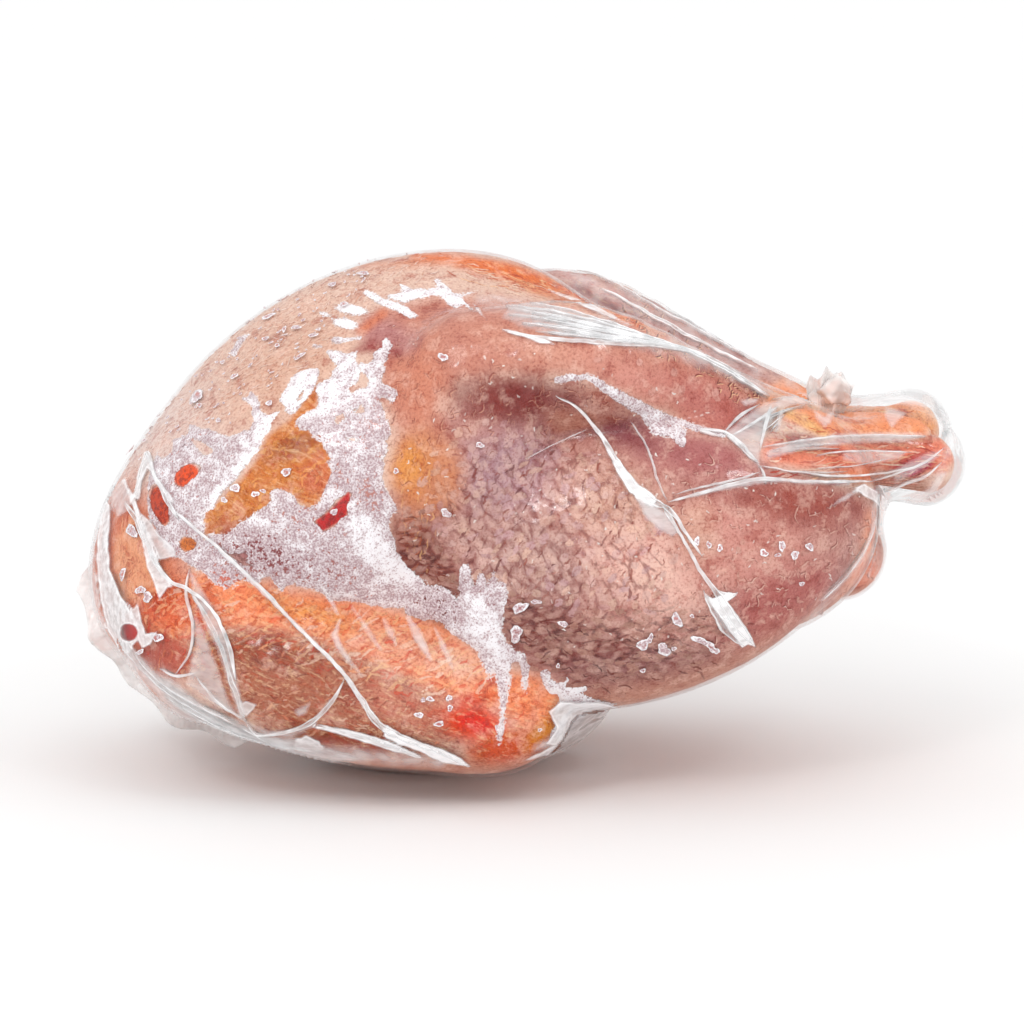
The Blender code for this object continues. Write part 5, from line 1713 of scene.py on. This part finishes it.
flakes = {
    "thick": 0.05,
    "rings": ((0.45, 0.55, 0.2), (0.8, 0.25, 0.8), (1.0, -0.25, 1.2)),    # reach, lift, solidity
    "middle": (0.62, 0.05),      # lift and solidity
    "named": (    # centre, two radii and a turn, in pixels
        (520, 608, 8, 5, -40), (536, 602, 5, 2.5, 5), (516, 634, 6.5, 8, 0), (563, 624, 5, 3, 0),
        (643, 645, 5, 7, 20), (650, 639, 3, 5, 20), (664, 650, 7, 6, 20), (674, 649, 2.5, 2.5, 0),
        (677, 620, 5, 7, -35), (692, 616, 2, 2, 0), (701, 641, 10, 3.5, 25), (711, 647, 4, 6, -40),
        (716, 651, 4, 3, 0), (643, 671, 2.5, 2.5, 0), (558, 666, 2.2, 2.2, 0), (764, 553, 4, 4, 0),
        (782, 546, 3, 6, -10), (795, 555, 4.5, 4, 0), (810, 547, 4, 4, 0), (778, 555, 3, 2, 0),
        (720, 548, 3, 3.5, 0), (709, 545, 2.5, 3.5, 0), (802, 584, 2.5, 2.5, 0), (697, 541, 3, 4, 0),
        (430, 699, 4, 2.6, 0), (449, 698, 3, 3.4, 0), (450, 708, 3, 3, 0), (419, 715, 4.5, 3, -10),
        (439, 724, 4.5, 3.2, 0), (423, 700, 2.6, 2.2, 0), (497, 728, 2, 3, 0), (540, 730, 2, 2, 0),
        (123, 574, 3, 6, 8), (132, 531, 5, 7, -10), (141, 590, 5, 4, 0), (148, 597, 5, 5, 0),
        (157, 637, 7, 4.5, 0), (140, 652, 4, 2.5, -20), (235, 488, 6, 3.5, 10), (224, 500, 3, 3, 0),
        (255, 494, 4, 3, 0), (286, 472, 6, 3.5, -15), (263, 491, 3, 2, 0), (334, 512, 3, 4, 30),
        (396, 471, 3, 2.6, 0), (446, 513, 5.5, 4, 20), (265, 338, 3.4, 2, -10), (284, 329, 2, 3, 20),
        (296, 327, 5, 2, -10), (234, 376, 4, 2.2, -20), (197, 396, 4.5, 7, 35), (199, 405, 2.4, 2.4, 0),
        (269, 403, 3, 3, 0), (277, 345, 3, 1.6, -15), (313, 335, 5, 1.8, -15), (268, 316, 7, 2, -20),
        (332, 284, 5, 1.8, -10), (363, 273, 6, 2, -4), (300, 356, 6, 1.8, -30), (344, 304, 5, 2, -10),
        (443, 357, 5, 4, 0), (222, 362, 2, 2, 0), (218, 420, 3, 2, -20), (480, 445, 4, 3, 0)),
    "scattered": 120,            # fine bits on the breast, in a slanting oval
    "scatteredAt": (265, 350), "scatteredReach": (175, 34), "scatteredSlope": -42,
    "scatteredTurn": -33,
}


def scatteredFlakes(seed):
    # bits on the breast: a random place within the oval, long along the slope
    random = np.random.default_rng(seed)
    count = flakes["scattered"]
    r, a = np.sqrt(random.uniform(0, 1, count)), random.uniform(0, 2 * math.pi, count)
    turn = math.radians(flakes["scatteredSlope"])
    u, v = flakes["scatteredReach"][0] * r * np.cos(a), flakes["scatteredReach"][1] * r * np.sin(a)
    x = flakes["scatteredAt"][0] + u * math.cos(turn) - v * math.sin(turn)
    y = flakes["scatteredAt"][1] + u * math.sin(turn) + v * math.cos(turn)
    long = random.uniform(1.0, 3.6, count) * random.uniform(0.5, 1.0, count)
    short = random.uniform(0.5, 1.0, count)
    lean = flakes["scatteredTurn"] + random.uniform(-18, 18, count)
    return np.column_stack((x, y, long, short, lean))


def addFlakes(name, side, seed, material):
    # each flake: rings of an uneven oval round a raised middle point, closed by a sunk one
    spots = np.vstack((np.array(flakes["named"], float), scatteredFlakes(seed)))
    if side > 0:
        random = np.random.default_rng(seed)
        spots[:, :2] += random.normal(0, 14, (len(spots), 2))
        spots[:, 4] += random.uniform(-40, 40, len(spots))
    rings, sectors = len(flakes["rings"]), 14
    a = 2 * math.pi * np.arange(sectors) / sectors
    share, ringLift, ringSolidity = np.array(flakes["rings"]).T
    number = np.arange(len(spots))[:, None, None]
    uneven = (1 + 0.18 * np.sin(2 * a + 2.1 * number) + 0.14 * np.sin(3 * a + 1.3 * number)
              + 0.10 * np.sin(5 * a + 4.7 * number))
    u = spots[:, 2, None, None] * share[None, :, None] * np.cos(a) * uneven
    v = spots[:, 3, None, None] * share[None, :, None] * np.sin(a) * uneven
    turn = np.radians(spots[:, 4])[:, None, None]
    x = spots[:, 0, None, None] + u * np.cos(turn) - v * np.sin(turn)
    y = spots[:, 1, None, None] + u * np.sin(turn) + v * np.cos(turn)
    flat = np.column_stack((x.ravel(), y.ravel()))
    flat = np.vstack((flat, spots[:, :2]))
    base, outward, missed = onFilm(flat, side)
    each = rings * sectors
    total = len(spots)
    lift = np.tile(np.repeat(ringLift, sectors), total)
    lift = np.concatenate((lift, np.full(total, flakes["middle"][0]))) * flakes["thick"]
    points = base + outward * lift[:, None]
    under = base[total * each:] - outward[total * each:] * 0.5
    points = np.vstack((points, under))
    torn = missed[:total * each].reshape(total, each).any(axis=1) | missed[total * each:]
    kept = np.nonzero(~torn)[0][:, None]
    quads = (kept * each + ringQuads(rings, sectors).reshape(1, -1)).reshape(-1, 4)
    j = np.arange(sectors)
    after = (j + 1) % sectors
    middles = total * each + kept + 0 * j
    tops = np.stack((middles, kept * each + j, kept * each + after), axis=-1).reshape(-1, 3)
    rim = (rings - 1) * sectors
    lows = np.stack((middles + total, kept * each + rim + after, kept * each + rim + j),
                    axis=-1).reshape(-1, 3)
    triangles = np.vstack((tops, lows))
    used, inverse = np.unique(np.concatenate((quads.ravel(), triangles.ravel())), return_inverse=True)
    quads, triangles = (inverse[:quads.size].reshape(-1, 4), inverse[quads.size:].reshape(-1, 3))
    solid = np.concatenate((np.tile(np.repeat(ringSolidity, sectors), total),
                            np.full(2 * total, flakes["middle"][1])))[used]
    outward = np.vstack((outward, outward[total * each:]))[used]
    traits, _, _, _ = skinTraits(points[used], outward, False)
    points = points[used]
    piece = newPiece(name, points, quads, triangles,
                     {"tone": 0.4 + 0.6 * traits["tone"], "depth": np.full(len(points), 0.9),
                      "solid": solid, "window": np.zeros(len(points))}, material)
    return piece


# Materials

def addNode(tree, kind, settings=None, **inputs):
    made = tree.nodes.new("ShaderNode" + kind)
    for key, value in (settings or {}).items():
        setattr(made, key, value)
    for key, value in inputs.items():
        socket = made.inputs[int(key[1:]) if key[0] == "_" else key]
        if isinstance(value, bpy.types.NodeSocket):
            tree.links.new(value, socket)
        else:
            socket.default_value = value
    return made


def newMaterial(name):
    material = bpy.data.materials.new(name)
    material.use_nodes = True
    tree = material.node_tree
    tree.nodes.clear()
    return material, tree


def trait(tree, name, colour=False):
    made = addNode(tree, "Attribute", {"attribute_name": name})
    return made.outputs["Color" if colour else "Fac"]


def placeInMm(tree, turn=(0, 0, 0), stretch=(1, 1, 1)):
    coordinates = addNode(tree, "TexCoord").outputs["Object"]
    made = addNode(tree, "Mapping", {"vector_type": "POINT"}, Vector=coordinates,
                   Rotation=[math.radians(a) for a in turn], Scale=[s / mm for s in stretch])
    return made.outputs["Vector"]


def sidePlane(tree, lean, along=1.0, across=1.0):
    # the bird's side as a flat plane in mm: X and Z, turned so that a line that leans
    # up to the right by that angle runs along the plane's own X
    flat = placeInMm(tree, (-90, 0, 0))
    turned = addNode(tree, "Mapping", {"vector_type": "POINT"}, Vector=flat,
                     Rotation=(0, 0, math.radians(lean)))
    sized = addNode(tree, "Mapping", {"vector_type": "POINT"}, Vector=turned.outputs[0],
                    Scale=(along, across, 1))
    return sized.outputs["Vector"]


def calculate(tree, operation, a, b=0.0, clamp=False):
    return addNode(tree, "Math", {"operation": operation, "use_clamp": clamp}, _0=a, _1=b).outputs[0]


def times(tree, a, b, clamp=False):
    return calculate(tree, "MULTIPLY", a, b, clamp)


def plus(tree, a, b, clamp=False):
    return calculate(tree, "ADD", a, b, clamp)


def span(tree, value, low, high, toLow=0.0, toHigh=1.0):
    limits = {"From Min": low, "From Max": high, "To Min": toLow, "To Max": toHigh}
    made = addNode(tree, "MapRange", {"interpolation_type": "SMOOTHSTEP"}, Value=value, **limits)
    return made.outputs["Result"]


def bumped(tree, height, strength, distance):
    return addNode(tree, "Bump", None, Height=height, Strength=strength, Distance=distance).outputs[0]


def principled(tree, colour, roughness, **inputs):
    return addNode(tree, "BsdfPrincipled", None, Roughness=roughness, **{"Base Color": colour}, **inputs)


def shownBy(tree, shader):
    output = addNode(tree, "OutputMaterial")
    tree.links.new(shader.outputs[0], output.inputs["Surface"])


def noiseOf(tree, vector, size, detail=3.0, rough=0.55, warp=0.0, flat=False):
    made = addNode(tree, "TexNoise", {"noise_dimensions": "2D" if flat else "3D"}, Vector=vector,
                   Scale=1.0 / size, Detail=detail, Roughness=rough, Distortion=warp)
    return made.outputs["Fac"]


def mixed(tree, share, a, b, blend="MIX"):
    made = addNode(tree, "Mix", {"data_type": "RGBA", "blend_type": blend, "clamp_factor": True})
    for socket, value in ((made.inputs[0], share), (made.inputs[6], a), (made.inputs[7], b)):
        if isinstance(value, bpy.types.NodeSocket):
            tree.links.new(value, socket)
        elif isinstance(value, float):
            socket.default_value = value
        else:
            socket.default_value = (*linear(value), 1.0)
    return made.outputs[2]


def warped(tree, vector, size, amount):
    # moves each place by up to the amount, by a noise of that size
    wobble = addNode(tree, "TexNoise", {"noise_dimensions": "2D"}, Vector=vector,
                     Scale=1.0 / size, Detail=1.0)
    moved = addNode(tree, "VectorMath", {"operation": "MULTIPLY_ADD"}, _0=wobble.outputs["Color"],
                    _1=(amount, amount, 0.0), _2=vector)
    return moved.outputs[0]


def shareOf(tree, pattern, key, amount):
    # a pattern where its trait says, and how strong it is
    here = times(tree, pattern, trait(tree, key))
    return times(tree, here, amount)


def withGrain(tree, colour, place):
    # muscle and fat: fine streaks that lean up to the right along the wing and the shanks
    flow = warped(tree, sidePlane(tree, 24, 0.32, 1.0), 7.0, 3.6)
    streak = noiseOf(tree, flow, 1.1, 4.0, 0.72, flat=True)
    colour = mixed(tree, shareOf(tree, span(tree, streak, 0.52, 0.70), "grain", 0.42),
                   colour, (255, 222, 176))
    return mixed(tree, shareOf(tree, span(tree, streak, 0.48, 0.32), "grain", 0.5),
                 colour, (200, 74, 44))


def withFlecks(tree, colour, place):
    # short pale hairs and flecks of frost on the breast, long along its slope
    sloping = placeInMm(tree, (0, 36, 0), (0.22, 0.7, 1.0))
    hair = noiseOf(tree, sloping, 0.9, 3.0, 0.7)
    colour = mixed(tree, shareOf(tree, span(tree, hair, 0.50, 0.72), "fleck", 0.5), colour, (250, 226, 212))
    return mixed(tree, shareOf(tree, span(tree, hair, 0.48, 0.34), "fleck", 0.4), colour, (214, 146, 122))


def withScales(tree, colour, place):
    # the thigh's scaled skin: pale cells, with a painted highlight towards each cell's middle, in a net of
    # darker lines that comes and goes
    patchy = span(tree, noiseOf(tree, place, 3.6, 3.0, 0.6), 0.38, 0.60, 0.05, 1.0)
    for key, lean, size, line in (("scaleUp", 58, 3.3, (138, 72, 64)), ("scaleLow", -8, 2.7, (92, 46, 44))):
        flow = warped(tree, sidePlane(tree, lean, 0.5, 1.0), 5.0, 2.6)
        flow = warped(tree, flow, 1.2, 0.9)
        cells = addNode(tree, "TexVoronoi", {"voronoi_dimensions": "2D", "feature": "DISTANCE_TO_EDGE"},
                        Vector=flow, Scale=1.0 / size)
        gap = cells.outputs["Distance"]
        # lighter towards each cell's middle: the scale's pale tone, with a painted highlight on the raised
        # scale
        colour = mixed(tree, shareOf(tree, span(tree, gap, 0.10, 0.34), key, 0.34), colour, (240, 204, 190))
        net = times(tree, span(tree, gap, 0.16, 0.02), patchy)
        colour = mixed(tree, shareOf(tree, net, key, 0.64), colour, line)
    return colour


def withInk(tree, colour, place):
    # a mark's own tone, ragged towards its edges
    ragged = times(tree, noiseOf(tree, place, 0.5, 2.0, 0.6), 0.9)
    body = plus(tree, trait(tree, "body"), ragged)
    share = times(tree, span(tree, body, 0.42, 0.85), trait(tree, "strength"))
    return mixed(tree, share, colour, trait(tree, "ink", True))


def skinMaterial(name, *textures):
    # flesh tone with cloudy mottling, the textures of one region, and rime over all
    material, tree = newMaterial(name)
    place = placeInMm(tree)
    tone = trait(tree, "tone", True)
    broad = noiseOf(tree, place, 6.0, 5.0, 0.65)
    speckle = noiseOf(tree, place, 0.75, 3.0, 0.75)
    colour = mixed(tree, span(tree, broad, 0.51, 0.66, 0, 0.34), tone, (250, 212, 194))
    colour = mixed(tree, span(tree, broad, 0.32, 0.49, 0.55, 0.0), colour, (196, 104, 88), "MULTIPLY")
    for texture in textures:
        colour = texture(tree, colour, place)
    colour = mixed(tree, span(tree, speckle, 0.30, 0.55, 0.5, 0.0), colour, (186, 112, 98), "MULTIPLY")
    rimed = trait(tree, "rime")
    reach = plus(tree, speckle, times(tree, rimed, 0.5))
    rime = times(tree, span(tree, reach, 0.80, 0.90), span(tree, rimed, 0.05, 0.8))
    colour = mixed(tree, times(tree, rime, 0.9), colour, (240, 236, 238))
    sheen = {"Normal": bumped(tree, speckle, 0.4, 0.0004), "Specular IOR Level": 0.12}
    shownBy(tree, principled(tree, colour, 0.5, **sheen))
    return material


def overClear(tree, share, coat):
    # the coat shows by that share, and nothing between
    clear = addNode(tree, "BsdfTransparent")
    final = addNode(tree, "MixShader", None, _0=share)
    tree.links.new(clear.outputs[0], final.inputs[1])
    tree.links.new(coat.outputs[0], final.inputs[2])
    shownBy(tree, final)


def frostMaterial():
    # pale crust, finely specked, with holes where it is thin, and a sharp edge
    material, tree = newMaterial("frost")
    place = placeInMm(tree)
    tone = trait(tree, "tone", True)
    stained = mixed(tree, 0.75, tone, (190, 104, 108), "MULTIPLY")
    speckle = noiseOf(tree, place, 0.5, 2.0, 0.65)
    holes = noiseOf(tree, place, 1.3, 3.0, 0.65)
    cover = plus(tree, holes, times(tree, trait(tree, "solid"), 0.34))
    cover = plus(tree, cover, times(tree, speckle, 0.30))
    blotch = noiseOf(tree, place, 2.8, 3.0, 0.6)
    bright = plus(tree, blotch, times(tree, trait(tree, "solid"), 0.45))
    white = mixed(tree, span(tree, bright, 0.58, 0.98), (224, 211, 214), (254, 252, 255))
    specks = plus(tree, speckle, span(tree, bright, 0.55, 1.2, -0.08, 0.13))
    white = mixed(tree, span(tree, specks, 0.33, 0.55, 0.84, 0.0), white, (168, 128, 134))
    colour = mixed(tree, span(tree, cover, 0.62, 0.70), stained, white)
    edge = plus(tree, trait(tree, "depth"), times(tree, speckle, 0.6))
    edge = span(tree, edge, 0.27, 0.35)
    bare = mixed(tree, span(tree, holes, 0.38, 0.56, 0.7, 0.0), tone, (150, 84, 70), "MULTIPLY")
    colour = mixed(tree, edge, bare, colour)
    shader = principled(tree, colour, 0.7, Normal=bumped(tree, cover, 0.35, 0.0004))
    overClear(tree, calculate(tree, "MAXIMUM", edge, trait(tree, "window")), shader)
    return material


def filmMaterial(name, wrinkle, white=(0.96, 0.96, 0.97, 1)):
    # clear under a Fresnel gloss; the haze trait turns it milky and dull
    material, tree = newMaterial(name)
    fine = noiseOf(tree, placeInMm(tree), 4.2, 1.0, 0.5)
    relief = bumped(tree, fine, wrinkle, 0.0012)
    glance = addNode(tree, "Fresnel", None, Normal=relief, IOR=1.30)
    gloss = calculate(tree, "MINIMUM", glance.outputs[0], 0.40)
    ragged = span(tree, fine, 0.30, 0.70, 0.65, 1.25)
    haze = times(tree, trait(tree, "haze"), ragged, True)
    coat = principled(tree, white, 0.12, Normal=relief, Metallic=span(tree, haze, 0.02, 0.16, 1.0, 0.0))
    overClear(tree, calculate(tree, "MAXIMUM", gloss, haze), coat)
    return material


def milkMaterial():
    # clouded film: its haze trait, a little streaky, with a bright lip inside a sharp edge, where added
    # white paints a highlight
    material, tree = newMaterial("milky_film")
    grain = noiseOf(tree, placeInMm(tree, (0, 35, 0), (0.35, 1, 1)), 2.2, 3.0, 0.6)
    depth = trait(tree, "depth")
    coat = principled(tree, (0.95, 0.94, 0.95, 1), 0.3)
    haze = trait(tree, "haze")
    # painted highlight: white added just inside the band's edge
    edgeHighlight = times(tree, span(tree, depth, 0.2, 1.0), span(tree, depth, 3.2, 1.2))
    edgeHighlight = times(tree, edgeHighlight, span(tree, haze, 0.46, 0.52, 0.0, 0.16))
    share = times(tree, haze, span(tree, grain, 0.3, 0.7, 0.75, 1.25))
    share = plus(tree, share, edgeHighlight, True)
    overClear(tree, times(tree, share, span(tree, depth, -0.9, 1.5)), coat)
    return material


# Build

textureOf = {"grain": withGrain, "fleck": withFlecks, "scale": withScales}
skinFinishes = [skinMaterial(name, *[textureOf[key] for key in keys]) for name, keys in regions]
frostFinish = frostMaterial()
filmFinish = filmMaterial("clear_film", 0.35)
creaseFinish = filmMaterial("film_creases", 0.25)
milkFinish = milkMaterial()
pieces = [addSkin(skinFinishes)]
print("skin done")
pieces.append(addFilm(filmFinish))
print("film done")
markFinish = skinMaterial("skin_marks", withGrain, withFlecks, withScales, withInk)
nearAndFar = (("", -1), ("_far", 1))
for (end, side), seed in zip(nearAndFar, (230, 240)):
    pieces.append(addMarks("skin_marks" + end, side, seed, markFinish))
pieces.append(addWeb(skinFinishes[1]))
print("marks done")
for (end, side), seed in zip(nearAndFar, (0, 300)):
    pieces.append(addCrust("frost_crust" + end, side, seed, frostFinish))
for (end, side), seed in zip(nearAndFar, (17, 18)):
    pieces.append(addFlakes("frost_flakes" + end, side, seed, frostFinish))
print("frost done")
for end, side in nearAndFar:
    pieces.append(addMilk("milky_film" + end, side, milkFinish))
print("milky film done")
pieces.append(ridges("film_creases", creases + farLegCreases, -1, 150, creaseFinish))
pieces.append(ridges("film_creases_far", creases, 1, 170, creaseFinish))
pieces.append(ridges("film_lines", fineLines(5), -1, 190, creaseFinish))
pieces.append(ridges("film_lines_far", fineLines(6, 0.4), 1, 210, creaseFinish))
print("creases done")
pieces.append(addNeckFlap(filmMaterial("neck_flap", 0.25, (0.95, 0.92, 0.91, 1))))
knotFinish = filmMaterial("film_knot", 0.25, (0.97, 0.92, 0.90, 1))
pieces.append(addTuft(knotFinish))
pieces.append(addKnobs(knotFinish))
print("flap and tuft done")
for piece in pieces:
    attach(piece, "root")
    print(piece.name, len(piece.data.polygons), "faces")
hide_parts(cadNode)


# Floor, light and camera

studio = {
    "floor": (0.93, 0.93, 0.93),
    "floorSize": 120.0,          # metres, so that it fills the view to the top
    "sky": 0.94,
    "suns": {     # where it shines from, strength, and how wide it looks in degrees
        "key": ((-0.5, -0.9, 1.0), 0.38, 30.0),
        "fill": ((0.7, -0.5, 0.9), 0.20, 60.0),
        "front": ((0.0, -1.0, 0.1), 0.16, 60.0),
    },
    "lamps": {    # place and size in metres, strength in watts
        "window": ((-0.35, -0.75, 0.70), 0.14, 0.7),
        "strip": ((0.45, -0.55, 0.75), 0.10, 0.4),
    },
}


def addStudio():
    bpy.ops.mesh.primitive_plane_add(size=studio["floorSize"])
    floor = bpy.context.object
    floor.name = "studio_floor"
    material, tree = newMaterial("studio_floor")
    shownBy(tree, principled(tree, (*studio["floor"], 1.0), 0.9, **{"Specular IOR Level": 0.0}))
    floor.data.materials.append(material)
    world = bpy.data.worlds.new("studio")
    bpy.context.scene.world = world
    world.use_nodes = True
    world.node_tree.nodes["Background"].inputs[0].default_value = (1, 1, 1, 1)
    world.node_tree.nodes["Background"].inputs[1].default_value = studio["sky"]
    for name, (place, power, wide) in studio["suns"].items():
        sun = bpy.data.objects.new(name, bpy.data.lights.new(name, "SUN"))
        sun.data.energy = power
        sun.data.angle = math.radians(wide)
        sun.rotation_euler = (-Vector(place)).to_track_quat("-Z", "Y").to_euler()
        bpy.context.scene.collection.objects.link(sun)
    middle = Vector(view["aim"]) * mm
    for name, (place, size, power) in studio["lamps"].items():
        lamp = bpy.data.objects.new(name, bpy.data.lights.new(name, "AREA"))
        lamp.data.energy = power
        lamp.data.shape = "SQUARE"
        lamp.data.size = size
        lamp.location = place
        lamp.rotation_euler = (middle - Vector(place)).to_track_quat("-Z", "Y").to_euler()
        bpy.context.scene.collection.objects.link(lamp)


def addCamera():
    camera = bpy.data.objects.new("camera", bpy.data.cameras.new("camera"))
    camera.location = Vector(eye) * mm
    camera.rotation_euler = Vector(-towardCamera).to_track_quat("-Z", "Y").to_euler()
    camera.data.sensor_width = view["sensor"]
    camera.data.lens = (view["sensor"] * view["distance"] * view["pixelsPerMm"] / view["frame"])
    camera.data.clip_start = 0.01
    camera.data.clip_end = 100.0
    bpy.context.scene.collection.objects.link(camera)
    bpy.context.scene.camera = camera


addStudio()
addCamera()
bpy.context.scene.view_settings.view_transform = "Standard"
print("studio done")
